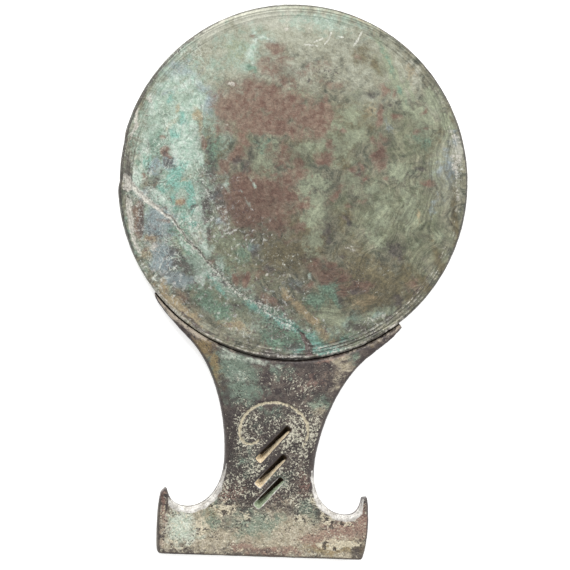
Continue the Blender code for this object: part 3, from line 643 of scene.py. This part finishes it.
level = points[:, 2] + np.where(front, rim + relief - 0.12, 0.0)
level += np.where(back & (inset > 9.0), 0.6 * relief, 0.0)
wall = 0.07 + 0.07 * mottle(solid, 2.6, 63) * ~(front | back)
moved = np.column_stack([places * (stretch * (1.0 - wall / radius.clip(1.0)))[:, None], level])
moved[:, 2] = np.clip(moved[:, 2], DISC_BACK / MM, RIM_TOP / MM)
moved[:, :2] += np.array(CENTRE.xy) / MM
disc.data.vertices.foreach_set("co", np.ascontiguousarray(moved * MM, dtype=np.float32).ravel())
for name, values in skin.items():
    keep(disc, name, values)
disc.data.update()
disc.select_set(True)
bpy.ops.object.shade_smooth()
bpy.ops.object.select_all(action="DESELECT")


def colour(value):
    """The linear colour of an sRGB hex value."""
    parts = [int(value[place : place + 2], 16) / 255 for place in (1, 3, 5)]
    return [p / 12.92 if p < 0.04045 else ((p + 0.055) / 1.055) ** 2.4 for p in parts] + [1.0]


def add(tree, kind, inputs, **settings):
    """Adds a shader node: its settings, and for each input a value or the socket that feeds it."""
    node = tree.nodes.new("ShaderNode" + kind)
    for name, value in settings.items():
        setattr(node, name, value)
    for name, value in inputs.items():
        if isinstance(value, bpy.types.NodeSocket):
            tree.links.new(value, node.inputs[name])
        else:
            node.inputs[name].default_value = value
    return node


def mottled(tree, place, texture, spread, tones):
    """Two tones in spots that run into each other, the more softly the wider the spread."""
    spots = add(tree, "TexNoise", {"Vector": place, **texture})
    ends = {"From Min": 0.5 - spread, "From Max": 0.5 + spread}
    share = add(tree, "MapRange", {"Value": spots.outputs["Fac"], **ends})
    first, second = (colour(tone) for tone in tones)
    blend = add(tree, "MixRGB", {"Fac": share.outputs[0], "Color1": first, "Color2": second})
    return blend.outputs["Color"]


def shade_by(tree, colours, pattern, share, darkest, lightest):
    """Darkens and lightens the colours by a pattern, as far as the share lets it."""
    ends = {"From Min": 0.3, "From Max": 0.7, "To Min": darkest, "To Max": lightest}
    shade = add(tree, "MapRange", {"Value": pattern, **ends})
    shaded = add(
        tree,
        "MixRGB",
        {"Fac": share, "Color1": colours, "Color2": shade.outputs[0]},
        blend_type="MULTIPLY",
    )
    return shaded.outputs["Color"]


def crust(tree, place, below, mineral):
    """Lays one mineral over the colour and roughness below it, in two tones, with a ragged edge."""
    name, tones, mottling, raggedness, softness, cover, rough = mineral
    mask = add(tree, "Attribute", {}, attribute_name=name)
    edge = add(
        tree,
        "TexNoise",
        {
            "Vector": place,
            "Scale": 1 / (mottling * 1.6 * MM),
            "Detail": 8.0,
            "Roughness": 0.68,
            "Distortion": 0.5,
        },
    )
    torn = add(
        tree,
        "Math",
        {0: edge.outputs["Fac"], 1: raggedness, 2: mask.outputs["Fac"]},
        operation="MULTIPLY_ADD",
    )
    middle = 0.5 + raggedness / 2
    ends = {"From Min": middle - softness, "From Max": middle + softness, "To Max": cover}
    laid = add(
        tree,
        "MapRange",
        {"Value": torn.outputs[0], **ends},
        interpolation_type="SMOOTHSTEP",
    )
    texture = {"Scale": 1 / (mottling * MM), "Detail": 6.0, "Roughness": 0.65}
    tone = mottled(tree, place, texture, 0.12, tones)
    shade = add(tree, "MixRGB", {"Fac": laid.outputs[0], "Color1": below[0], "Color2": tone})
    gloss = add(tree, "Mix", {0: laid.outputs[0], 2: below[1], 3: rough})
    return shade.outputs["Color"], gloss.outputs[0]


def finish(name, metallic):
    """A new finish: its material, its nodes, and where they read, from the disc's centre."""
    material = bpy.data.materials.new(name)
    material.use_nodes = True
    tree = material.node_tree
    tree.nodes["Principled BSDF"].inputs["Metallic"].default_value = metallic
    axis = add(tree, "TexCoord", {}).outputs["Object"]
    place = add(tree, "Mapping", {"Vector": axis, "Location": -CENTRE}).outputs["Vector"]
    return material, tree, place


def dress(obj, material, colours, roughness, bump):
    """Joins the finished layers to the material's shader, and puts it on the piece."""
    shader = material.node_tree.nodes["Principled BSDF"]
    for name, value in (("Base Color", colours), ("Roughness", roughness), ("Normal", bump)):
        material.node_tree.links.new(value, shader.inputs[name])
    obj.data.materials.clear()
    obj.data.materials.append(material)


# Copper minerals on bronze: matt and stony, each with its own colour and gloss, thin enough on the
# disc to keep the turned face's soft shine. Columns: mask, its two tones, the size of its mottling
# in millimetres, how ragged and how soft its edge is, how fully it covers, and its roughness.
# A few layers also carry painted light: sheen over the top in the pale layers, glints on the right
# rim in the chalk, and shade over the lower middle in the dull layer.
DISC_MINERALS = (
    ("bleached_and_sheen", ("#a6a897", "#8b8b79"), 3.4, 1.7, 0.28, 0.85, 0.55),
    ("ashen_sheen", ("#bdbdaf", "#a9a99a"), 3.2, 1.8, 0.3, 0.75, 0.6),
    ("bloomed", ("#9fb2a4", "#7e9585"), 3.0, 1.9, 0.28, 0.8, 0.6),
    ("greened", ("#585e47", "#7c7e66"), 3.4, 1.8, 0.3, 0.75, 0.5),
    ("olive", ("#4e4733", "#6e6448"), 2.8, 1.8, 0.3, 0.8, 0.5),
    ("celadon", ("#939a81", "#7c826d"), 2.4, 1.9, 0.24, 0.85, 0.6),
    ("slate", ("#75868c", "#98a3a6"), 2.8, 1.6, 0.26, 0.8, 0.5),
    ("cuprite", ("#684b40", "#837061"), 3.0, 1.7, 0.27, 0.88, 0.45),
    ("oxblood", ("#573f36", "#6d564a"), 3.0, 1.7, 0.26, 0.75, 0.45),
    ("ochre", ("#958161", "#ab9877"), 2.0, 1.7, 0.26, 0.68, 0.65),
    ("malachite", ("#4a6858", "#6c8e7b"), 2.2, 1.7, 0.26, 0.72, 0.65),
    ("mint", ("#c1cbc1", "#92ab9b"), 2.8, 1.7, 0.24, 0.82, 0.7),
    ("turquoise", ("#80b0a3", "#5a8d80"), 2.0, 1.5, 0.24, 0.8, 0.7),
    ("dull_and_shade", ("#2c2820", "#3e382c"), 4.0, 1.5, 0.36, 0.34, 0.45),
    ("tenorite", ("#393533", "#504846"), 1.7, 1.8, 0.24, 0.75, 0.4),
    ("flaked", ("#4c3d3c", "#6a5753"), 1.5, 1.8, 0.12, 0.78, 0.5),
    ("flecked", ("#c6c8c0", "#a8a6a4"), 1.4, 1.8, 0.12, 0.7, 0.75),
    ("crumbs", ("#cbcac1", "#a8ada5"), 0.72, 1.7, 0.1, 0.75, 0.8),
    ("pinholes", ("#2d2c2b", "#4a3d3c"), 0.56, 1.7, 0.09, 0.8, 0.5),
    ("chalk_and_glints", ("#d0ccc2", "#b4afa5"), 1.0, 2.0, 0.18, 0.75, 0.8),
    ("scratched", ("#d4d3c9", "#bcbdb1"), 0.8, 1.4, 0.16, 0.75, 0.5),
)

# Tin bronze whose skin has mostly turned to stone, so that little of the metal's shine is left.
patina, tree, place = finish("turned_bronze_under_patina", 0.12)
texture = {"Scale": 1 / (7.0 * MM), "Detail": 9.0, "Roughness": 0.65, "Distortion": 1.6}
colours = mottled(tree, place, texture, 0.1, ("#484b40", "#827f6c"))
roughness = 0.42
for mineral in DISC_MINERALS:
    colours, roughness = crust(tree, place, (colours, roughness), mineral)

# Fine lines turned on the lathe follow the oval; longer strokes that swing round it are polishing.
lathe = add(
    tree,
    "Mapping",
    {
        "Vector": place,
        "Rotation": (0.0, 0.0, -LEAN),
        "Scale": (1.0, LONG_RADIUS / SHORT_RADIUS, 0.0),
    },
)
far = add(tree, "VectorMath", {0: lathe.outputs["Vector"]}, operation="LENGTH")
circles = add(
    tree,
    "TexNoise",
    {"W": far.outputs["Value"], "Scale": 1 / (1.1 * MM), "Detail": 2.0},
    noise_dimensions="1D",
)
drift = add(tree, "TexNoise", {"Vector": place, "Scale": 1 / (24.0 * MM), "Detail": 2.0})
swung = add(
    tree,
    "VectorMath",
    {0: drift.outputs["Color"], 1: (34 * MM, 34 * MM, 0.0), 2: (-17 * MM, -17 * MM, 0.0)},
    operation="MULTIPLY_ADD",
)
wiped = add(tree, "VectorMath", {0: place, 1: swung.outputs["Vector"]}, operation="ADD")
parts = add(tree, "SeparateXYZ", {"Vector": wiped.outputs["Vector"]})
angle = add(
    tree,
    "Math",
    {0: parts.outputs["Y"], 1: parts.outputs["X"]},
    operation="ARCTAN2",
)
out = add(tree, "VectorMath", {0: wiped.outputs["Vector"]}, operation="LENGTH")
across = add(tree, "Math", {0: out.outputs["Value"], 1: 1 / (1.3 * MM)}, operation="MULTIPLY")
along = add(tree, "Math", {0: angle.outputs[0], 1: 3.0}, operation="MULTIPLY")
strokes = add(tree, "CombineXYZ", {"X": across.outputs[0], "Y": along.outputs[0]})
wipes = add(
    tree,
    "TexNoise",
    {"Vector": strokes.outputs["Vector"], "Scale": 1.0, "Detail": 4.0, "Roughness": 0.6},
)

# Veins wander through the thick crust at the left: a dark crack with a pale lip beside it.
drawn_out = add(tree, "Mapping", {"Vector": place, "Scale": (1.0, 0.6, 1.0)})
veins = add(
    tree,
    "TexNoise",
    {
        "Vector": drawn_out.outputs["Vector"],
        "Scale": 1 / (9.0 * MM),
        "Detail": 3.0,
        "Roughness": 0.6,
        "Distortion": 1.0,
    },
)
crazed = add(tree, "Attribute", {}, attribute_name="crazed")
for level, tone in ((0.5, "#454039"), (0.522, "#d2d6ca"), (0.6, "#6a5a48")):
    apart = add(tree, "Math", {0: veins.outputs["Fac"], 1: level}, operation="SUBTRACT")
    apart = add(tree, "Math", {0: apart.outputs[0]}, operation="ABSOLUTE")
    drawn = add(
        tree,
        "MapRange",
        {"Value": apart.outputs[0], "From Max": 0.012, "To Min": 0.6, "To Max": 0.0},
    )
    share = add(tree, "Math", {0: drawn.outputs[0], 1: crazed.outputs["Fac"]}, operation="MULTIPLY")
    veined = add(
        tree,
        "MixRGB",
        {"Fac": share.outputs[0], "Color1": colours, "Color2": colour(tone)},
    )
    colours = veined.outputs["Color"]

# The turned lines show best at the upper left and on the rim, the polishing strokes at the right.
for pattern, mask, darkest, lightest in (
    (circles, "turned", 0.62, 1.26),
    (wipes, "brushed", 0.6, 1.4),
):
    share = add(tree, "Attribute", {}, attribute_name=mask).outputs["Fac"]
    colours = shade_by(tree, colours, pattern.outputs["Fac"], share, darkest, lightest)

# Sandy grain, drawn a millimetre coarse so that the eye just makes it out.
sand = add(
    tree,
    "TexNoise",
    {"Vector": place, "Scale": 1 / (1.1 * MM), "Detail": 2.5, "Roughness": 0.8, "Distortion": 0.6},
)
coarse = add(tree, "Attribute", {}, attribute_name="coarse").outputs["Fac"]
colours = shade_by(tree, colours, sand.outputs["Fac"], coarse, 0.6, 1.4)
bump = add(tree, "Bump", {"Strength": 1.0, "Distance": 0.25 * MM, "Height": sand.outputs["Fac"]})
dress(disc, patina, colours, roughness, bump.outputs["Normal"])

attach(disc, "root")
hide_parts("disc")

# ------------------------------------------------------------------------------------------------
# The handle
# A second casting of bronze, thicker than the disc, whose arms and ledge carry the disc's lower
# edge. A crook is chased into its waist over three slanting chisel cuts. It was never polished, and
# sand and lime have bedded in its rougher skin.
# ------------------------------------------------------------------------------------------------

handle_low, handle_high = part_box("handle")
SKIN_STEP = 0.51 * MM

# The plate's top is in millimetres from the table, and the crook and the three cuts from the disc's
# centre. For each cut: the place of its middle, its length, and the crust that has bedded in it,
# which carries a painted highlight as well.
PLATE_TOP = 8.0
CROOK_MIDDLE = (0.9, -125.0)
CROOK_HALF_SPAN = 17.1
CROOK_RISE = 14.5
CROOK_HOOK_RADIUS = 5.3
CROOK_HOOK_DROP = 2.2
CROOK_FOOT = -25
CUTS = ((-131.7, 23.0, "cream_and_highlight"), (-145.1, 20.7, "cream_and_highlight"), (-156.1, 19.5, "moss_and_highlight"))
CUT_MIDDLE_X = 1.3
CUT_SLANT = math.radians(51.5)
CUT_HALF_WIDTH = 1.9

bpy.ops.object.select_all(action="DESELECT")
handle = bpy.data.objects.new("mirror_handle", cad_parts["handle"].data.copy())
bpy.context.scene.collection.objects.link(handle)
handle.select_set(True)
bpy.context.view_layer.objects.active = handle
bpy.ops.object.mode_set(mode="EDIT")
bpy.ops.mesh.select_all(action="SELECT")
bpy.ops.mesh.remove_doubles(threshold=0.005 * MM)
bpy.ops.mesh.normals_make_consistent(inside=False)
bpy.ops.object.mode_set(mode="OBJECT")
skinned = handle.modifiers.new("skin", "REMESH")
skinned.mode = "VOXEL"
skinned.voxel_size = SKIN_STEP
bpy.ops.object.modifier_apply(modifier=skinned.name)
softened = handle.modifiers.new("soft", "SMOOTH")
softened.factor = 0.5
softened.iterations = 2
bpy.ops.object.modifier_apply(modifier=softened.name)

points = points_of(handle) / MM
normals = np.empty(points.size)
handle.data.vertex_normals.foreach_get("vector", normals)
normals = normals.reshape(-1, 3)
places = points[:, :2] - np.array(CENTRE.xy) / MM
x, y = places.T
solid = np.column_stack([places, points[:, 2]])
face = ease(normals[:, 2], 0.55, 0.85)
under = fade(normals[:, 2], -0.85, -0.55)
wall = 1.0 - face - under
rolled = fade(normals[:, 2], 0.93, 0.985) * (1.0 - under)
flat = 1.0 - rolled


def arc(middle, across, up, turns):
    """Points on an oval at these turns, in degrees."""
    angles = [math.radians(turn) for turn in turns]
    return [(middle[0] + across * math.cos(a), middle[1] + up * math.sin(a)) for a in angles]


# The crook is an arch that starts low at the right, and curls up again at the left in a hook.
crook = arc(CROOK_MIDDLE, CROOK_HALF_SPAN, CROOK_RISE, range(CROOK_FOOT, 181, 8))
hook_x = CROOK_MIDDLE[0] - CROOK_HALF_SPAN + CROOK_HOOK_RADIUS
hook_y = CROOK_MIDDLE[1] - CROOK_HOOK_DROP
crook += arc((hook_x, hook_y), CROOK_HOOK_RADIUS, CROOK_HOOK_RADIUS, range(180, 336, 12))

# Stains as on the disc, in rows of the same kind.
HANDLE_STAINS = {
    "sandy": (
        (0, -178, 58, 15, 0, 1.02), (-30, -175, 12, 10, 0, 1.2), (38, -180, 16, 8, 0, 1.1),
        (26, -166, 4, 3, 0, 0.9), (31, -86.4, 7, 1.8, 14, 0.85), (22, -112, 5, 4, 0, 0.7),
        (-30, -170, 20, 8, 0, 0.9), (33, -90, 6, 4, 20, 0.66), (30, -98, 5, 5, 0, 0.6),
    ),
    "greened": (
        (2, -95, 9, 4, 0, 0.62), (-22, -96, 12, 8, 0, 1.05), (-17, -106, 11, 7, 10, 1.0),
        (-5, -172, 13, 7, 0, 0.9), (-26, -170, 5, 7, 0, 0.85), (22, -110, 6, 4, 0, 0.75),
        (-14, -140, 7, 9, 0, 0.62), (22, -163, 5, 7, 0, 0.8), (-3, -118, 12, 7, 0, 0.55),
        (37, -85, 4, 3, 30, 0.8), (6, -150, 6, 5, 0, 0.6),
    ),
    "ochre": (
        (-38, -85, 6, 5, 0, 1.0), (-31, -96, 3, 9, 24, 0.95), (38, -181, 13, 3, 8, 1.1),
        (-26, -168, 3, 4, 0, 0.6), (46, -75, 5, 4, 40, 0.7),
    ),
    "reddish": (
        (38, -173, 12, 5, 15, 1.05), (48, -168, 3.4, 7, 0, 1.2), (25, -177, 7, 3, 0, 0.95),
        (4, -185.4, 13, 1.9, 2, 1.1), (-10, -184, 6, 2.4, 0, 0.9), (-18, -158, 7, 5, 0, 0.8),
        (18, -150, 4, 8, 0, 0.62), (27, -86.5, 8, 1.6, 16, 0.8), (17, -98, 12, 6, 0, 0.42),
        (-51, -168, 1.6, 15, 4, 0.8), (0, -160, 10, 4, 0, 0.55),
    ),
    "mint": (
        (-41.5, -177, 6, 8, 12, 1.0), (-34, -179, 5, 4, 0, 0.6), (-9, -91.6, 9, 1.6, -5, 0.62),
        (-26, -87.4, 8, 1.8, -19, 0.64), (-46, -180, 4, 4, 0, 0.7), (-20, -99, 6, 3, 0, 0.5),
    ),
    "umber": (
        (-25, -106, 2.6, 7, 20, 0.95), (22, -104, 8, 4, 0, 0.7), (16, -92.6, 8, 3.4, 8, 0.7),
        (-19, -117, 2.6, 5, 8, 0.9), (20.4, -139, 2.6, 10, 0, 1.0), (-17.5, -153, 4, 6, 0, 0.8),
        (-12, -166, 3, 3, 0, 0.8), (13, -163.5, 7, 4, 0, 0.6), (-3, -186.4, 48, 3, 2.6, 0.54),
        (-18, -176, 4, 6, 0, 0.56), (-20.6, -129, 3.4, 19, 1, 1.0), (-18, -147, 6, 5, 0, 0.85),
        (-32, -174, 1.2, 5, 10, 0.66), (-9, -173.5, 1.4, 1.2, 0, 0.9), (-8, -167, 2.4, 2.2, 0, 0.9),
        (27, -165, 2.4, 4, 30, 0.8), (48.5, -184, 3.4, 5, 0, 1.3), (0, -189.2, 58, 1.3, 2.6, 1.15),
        (-50, -170, 0.7, 14, 0, 0.8), (-8, -161, 8, 4, 0, 1.0), (0, -141, 5, 4, 0, 0.9),
        (-3, -122, 8, 8, 0, 0.74), (4, -110, 14, 6, 0, 0.54), (44, -83, 4, 2, 40, 0.8),
    ),
}

# Where corrosion has eaten into the face, between curds of lime.
POCKS = (
    (-21, -166, 7, 4, -6, 0.6), (-8, -169, 3, 4, 0, 0.6), (26, -160, 2.6, 5, 30, 0.64),
    (32, -167, 6, 3.6, -40, 0.68), (41, -168, 6, 2.2, 0, 0.54), (39, -180, 13, 2.2, 3, 0.66),
    (-31.5, -176, 2.6, 6, 0, 0.6), (19, -168, 6, 5, 0, 0.48),
)

marked = {}
for number, (name, rows) in enumerate(HANDLE_STAINS.items()):
    marked[name] = stains(places, rows, 90 + 3 * number)

# Sand lies all over the face, thicker from the crook down and in two patches, at the neck and right
# of the crook, and thinner on dark skin and on the base bar. Pin holes are closest below the crook.
# Near the coves and on the base bar, worm-like pits run between curds of lime.
sandiness = 0.25 + 0.15 * fade(y, -120.0, -108.0) + 0.06 * mottle(solid, 8.0, 122)
for thicker, seed in (((6, -101, 16, 6, 0, 0.9), 148), ((16, -121, 8, 12, 0, 0.9), 145)):
    sandiness += 0.09 * ease(stains(places, (thicker,), seed), 0.3, 0.6)
sandiness -= 0.16 * ease(marked["umber"], 0.5, 0.9) + 0.08 * fade(y, -166.0, -158.0)
marked["grit"] = (sandiness + 0.06 * mottle(solid, 1.2, 120, 1)) * flat
on_bar = fade(y, -168.0, -160.0)
marked["pitted"] = 0.34 + 0.14 * fade(y, -122.0, -108.0) + 0.1 * mottle(solid, 6.0, 125)
marked["pitted"] -= 0.13 * on_bar + 0.1 * ease(marked["mint"], 0.5, 0.9)
marked["pitted"] *= flat
pits = ease(mottle(solid, 1.5, 128, 2), 0.75, 1.1) * fade(y, -126.0, -112.0) * flat
deepen(marked, "pitted", 0.6 * pits)
pocky = ease(stains(places, POCKS, 140), 0.28, 0.4) * flat
worming = np.abs(mottle(solid, 2.2, 143, 1))
wormed = fade(worming, 0.12, 0.3) * ease(mottle(solid, 2.6, 151, 1), -0.1, 0.2) * pocky
curded = fade(worming, 0.5, 0.8) * pocky * (1.0 - wormed)
marked["pocked"] = np.maximum(0.95 * wormed, 0.24 * on_bar * flat)
marked["limed"] = np.maximum(0.72 * curded, 0.34 * on_bar * flat)

# The crook is filled with lime, thinner towards its right end.
crook_away, crook_reach = beside(places + 0.3 * mottle(solid, 1.6, 130)[:, None], crook)
fading = 1.0 - 0.35 * fade(crook_reach, 0.0, 5.0) + 0.25 * mottle(solid, 2.5, 131)
marked["crook"] = np.clip(fading, 0.0, 1.1) * (1.0 - crook_away / 1.25) * face

# Each cut's lower wall and foot are pale, with lime in the first two and a green crust in the third,
# and lit by a painted highlight; its upper wall is black with soot and painted shade. Painted shade
# also darkens a band along its upper lip.
below_top = PLATE_TOP - points[:, 2]
for name in ("cream_and_highlight", "moss_and_highlight", "soot_and_shade"):
    marked[name] = np.zeros(len(points))
slant = np.array((math.cos(CUT_SLANT), math.sin(CUT_SLANT)))
for middle_y, length, pale in CUTS:
    half = length / 2
    along = (places - (CUT_MIDDLE_X, middle_y)) @ slant
    across = (places - (CUT_MIDDLE_X, middle_y)) @ np.array((slant[1], -slant[0]))
    inside = fade(np.abs(along), half - 0.1, half + 0.9) * ease(below_top, 0.12, 0.4)
    inside *= fade(np.abs(across), CUT_HALF_WIDTH, CUT_HALF_WIDTH + 0.5)
    pale_from = 0.9 * along / half + 0.15 + 0.22 * mottle(solid, 2.0, 147)
    pale_lit_wall = ease(across, pale_from - 0.3, pale_from + 0.3)
    pale_lit_wall = np.maximum(pale_lit_wall, fade(along, 2.8 - half, 3.6 - half))
    if pale == "cream_and_highlight":
        pale_lit_wall *= fade(along, half - 2.4, half - 0.6)
    deepen(marked, pale, inside * pale_lit_wall)
    deepen(marked, "soot_and_shade", inside * (1.0 - pale_lit_wall))
    shaded_lip = ease(across, -CUT_HALF_WIDTH - 1.8, -CUT_HALF_WIDTH - 0.4) * (across < 0.0)
    shaded_lip *= fade(np.abs(along), half - 2.4, half + 0.4)
    deepen(marked, "umber", 1.3 * shaded_lip * face)
    marked["grit"] -= 0.3 * shaded_lip

# Grime and painted shade fill the seam round the disc, and a painted shadow of the disc spreads over
# the face beside it, widest over the waist. The lips of the arms carry a painted highlight, the left
# one most.
seat_away = np.hypot(x, y) - LONG_RADIUS / MM
left_arm = fade(x, -43.0, -36.0)
seam_grime_and_shade = fade(seat_away, 0.6, 1.2) * ease(below_top, 1.4, 2.0) * (1.0 - under)
seam_grime_and_shade *= 1.0 - 0.85 * left_arm
# How far the disc's painted shadow reaches over the face.
spread = 0.05 - 0.6 * left_arm + 1.45 * between(x, -40.0, -14.0, 9.0, 18.0)
seam_grime_and_shade = np.maximum(seam_grime_and_shade, 0.9 * ease(spread - seat_away, -0.3, 0.3) * face)
deepen(marked, "soot_and_shade", seam_grime_and_shade)
# A painted highlight along the lips of the arms.
lip = fade(seat_away, 2.2, 3.4) * fade(below_top, 1.4, 1.9) * (1.0 - under)
lip_strength = 0.25 + 0.45 * fade(x, -42.0, -28.0) + 0.15 * ease(x, 28.0, 42.0)
marked["lip"] = lip * (lip_strength + 0.3 * mottle(solid, 3.0, 138))

# The coves are pale over their rims and a little way on to the face, furthest at the bottom, which
# faces
# the light: worn white, with a painted highlight. Every other rounded edge is dark.
in_coves = between(y, -172.0, -168.0, -152.0, -142.0) * fade(np.abs(x), 47.0, 49.0)
in_coves *= ease(points[:, 2], 3.6, 5.6)
marked["scoured_and_lit"] = rolled * in_coves * (0.75 + 0.3 * mottle(solid, 5.0, 139))
by_coves = (y > -172.0) & (y < -143.0) & (np.abs(np.abs(x) - 35.0) < 14.0)
cove_wall = places[by_coves & (np.abs(normals[:, 2]) < 0.3)][::9]
near = np.flatnonzero(by_coves & (face > 0.5))
from_cove = np.min(np.linalg.norm(places[near, None] - cove_wall[None], axis=2), axis=1)
band = 1.5 + 1.4 * fade(y[near], -161.0, -150.0) + 0.5 * mottle(solid[near], 3.0, 149)
scoured_and_lit = 0.8 * ease(band - from_cove, -0.5, 0.5)
marked["scoured_and_lit"][near] = np.maximum(marked["scoured_and_lit"][near], scoured_and_lit)
deepen(marked, "umber", 1.05 * rolled * (1.0 - in_coves))

uneven = 0.05 * mottle(solid, 8.0, 133) + 0.05 * mottle(solid, 2.2, 134)
uneven += 0.08 * mottle(solid, 1.1, 123, 1) * face - 0.25 * pits - 0.3 * wormed
uneven -= 0.25 * ease(marked["crook"], 0.3, 0.7)
uneven -= 0.25 * ease(mottle(solid, 4.0, 136), 0.5, 1.0) * wall
uneven *= 1.0 - 0.7 * under
moved = points + normals * (uneven - 0.06)[:, None]

# The seam is nearly closed round the disc, and tightest at the left arm.
closing = (0.5 + 0.14 * left_arm) * between(seat_away, 0.2, 0.7, 2.0, 4.0)
closing *= ease(points[:, 2], 4.3, 5.0)
moved[:, :2] -= places / np.hypot(x, y)[:, None] * closing[:, None]
moved = np.clip(moved, np.array(handle_low) / MM, np.array(handle_high) / MM)
handle.data.vertices.foreach_set("co", np.ascontiguousarray(moved * MM, dtype=np.float32).ravel())
for name, values in marked.items():
    keep(handle, name, values)
handle.data.update()
bpy.ops.object.shade_smooth()
bpy.ops.object.select_all(action="DESELECT")

# The same copper minerals lie thicker here, over a purple-brown ground, and hold lime and sand.
# Some layers also carry painted light: highlights on the lips, the coves and the cuts' lower walls,
# and shade in the cuts and along the seam.
HANDLE_MINERALS = (
    ("sandy", ("#c0b6a1", "#978d76"), 2.4, 1.9, 0.26, 0.87, 0.7),
    ("greened", ("#5e7060", "#7d9080"), 2.8, 1.8, 0.26, 0.75, 0.6),
    ("ochre", ("#8d7852", "#776846"), 2.4, 1.8, 0.24, 0.75, 0.7),
    ("reddish", ("#7f5e54", "#957467"), 2.4, 1.8, 0.24, 0.7, 0.6),
    ("mint", ("#ced5c7", "#adbbaa"), 2.4, 1.8, 0.26, 0.85, 0.7),
    ("umber", ("#453c3a", "#352f2d"), 1.8, 1.6, 0.24, 0.75, 0.45),
    ("limed", ("#d9d0b8", "#beb49b"), 1.1, 1.8, 0.1, 0.8, 0.8),
    ("pocked", ("#2b2522", "#453a32"), 0.9, 1.8, 0.08, 0.85, 0.5),
    ("pitted", ("#1e1a18", "#332b28"), 0.56, 1.8, 0.07, 0.92, 0.5),
    ("grit", ("#dcd6c4", "#a8a894"), 0.58, 1.8, 0.06, 0.9, 0.8),
    ("lip", ("#c6bba7", "#8d8174"), 0.9, 1.6, 0.24, 0.8, 0.6),
    ("scoured_and_lit", ("#dfdcd6", "#b0aca5"), 3.0, 1.2, 0.3, 0.95, 0.35),
    ("crook", ("#cbc2a9", "#a49b84"), 0.6, 2.0, 0.14, 0.95, 0.8),
    ("soot_and_shade", ("#241b12", "#4a3820"), 1.2, 0.6, 0.14, 1.0, 0.7),
    ("cream_and_highlight", ("#e0d2b6", "#cdba98"), 1.2, 0.6, 0.14, 1.0, 0.7),
    ("moss_and_highlight", ("#b2bda2", "#87967a"), 1.2, 0.6, 0.14, 1.0, 0.7),
)

# Rough cast bronze, a purple-brown that shows wherever the minerals, the lime and the sand are thin.
crusted_bronze, tree, place = finish("cast_bronze_with_bedded_sand", 0.1)
texture = {"Scale": 1 / (3.0 * MM), "Detail": 7.0}
colours = mottled(tree, place, texture, 0.12, ("#372f2f", "#5e544d"))
roughness = 0.45
for mineral in HANDLE_MINERALS:
    colours, roughness = crust(tree, place, (colours, roughness), mineral)
sand = add(
    tree,
    "TexNoise",
    {"Vector": place, "Scale": 1 / (0.9 * MM), "Detail": 2.0, "Roughness": 0.8, "Distortion": 0.4},
)
colours = shade_by(tree, colours, sand.outputs["Fac"], 1.0, 0.62, 1.36)
bump = add(tree, "Bump", {"Strength": 1.0, "Distance": 0.2 * MM, "Height": sand.outputs["Fac"]})
dress(handle, crusted_bronze, colours, roughness, bump.outputs["Normal"])

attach(handle, "root")
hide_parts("handle")

# ------------------------------------------------------------------------------------------------
# The table, the light and the camera
# A white table lit brightly enough to lose its shadows, under one big soft window high at the head
# end and a weaker one on the right, with the camera looking almost straight down.
# ------------------------------------------------------------------------------------------------

CAMERA_AT = Vector((0.1 * MM, 0.0, 8.5 * MM))
CAMERA_FROM = Vector((-math.tan(math.radians(3.5)), math.tan(math.radians(4.0)), 1.0)).normalized()
CAMERA_AWAY = 1.8
CAMERA_ROLL = math.radians(4.7)
VIEW_WIDTH = 0.2846

# Matt white paint with a faint glow of its own, which hides where the table ends.
bpy.ops.mesh.primitive_plane_add(size=6.0)
table = bpy.context.object
table.name = "table"
table_paint = bpy.data.materials.new("white_table_paint")
table_paint.use_nodes = True
tree = table_paint.node_tree
shader = tree.nodes["Principled BSDF"]
shader.inputs["Roughness"].default_value = 0.9
shader.inputs["Specular IOR Level"].default_value = 0.1
shader.inputs["Base Color"].default_value = colour("#f8f8f6")
shader.inputs["Emission Color"].default_value = colour("#ffffff")
shader.inputs["Emission Strength"].default_value = 0.5
table.data.materials.append(table_paint)

across = Vector((math.cos(CAMERA_ROLL), math.sin(CAMERA_ROLL), 0.0))
across = (across - across.dot(CAMERA_FROM) * CAMERA_FROM).normalized()
camera = bpy.data.objects.new("camera", bpy.data.cameras.new("camera"))
camera.matrix_world = Matrix.Translation(CAMERA_AT + CAMERA_AWAY * CAMERA_FROM) @ Matrix(
    (across, CAMERA_FROM.cross(across), CAMERA_FROM)
).transposed().to_4x4()
camera.data.lens = camera.data.sensor_width * CAMERA_AWAY / VIEW_WIDTH
camera.data.clip_end = 10.0
bpy.context.scene.collection.objects.link(camera)
bpy.context.scene.camera = camera

for name, place, size, power in (
    ("window", (-0.28, 0.9, 0.85), 0.6, 14.0),
    ("reflector", (0.8, 0.1, 0.8), 0.5, 4.0),
):
    light = bpy.data.objects.new(name, bpy.data.lights.new(name, "AREA"))
    light.location = place
    light.rotation_euler = (-Vector(place)).to_track_quat("-Z", "Y").to_euler()
    light.data.size = size
    light.data.energy = power
    bpy.context.scene.collection.objects.link(light)

room = bpy.data.worlds.new("room")
room.use_nodes = True
room.node_tree.nodes["Background"].inputs["Color"].default_value = colour("#ffffff")
room.node_tree.nodes["Background"].inputs["Strength"].default_value = 0.6
bpy.context.scene.world = room
bpy.context.scene.view_settings.view_transform = "Standard"
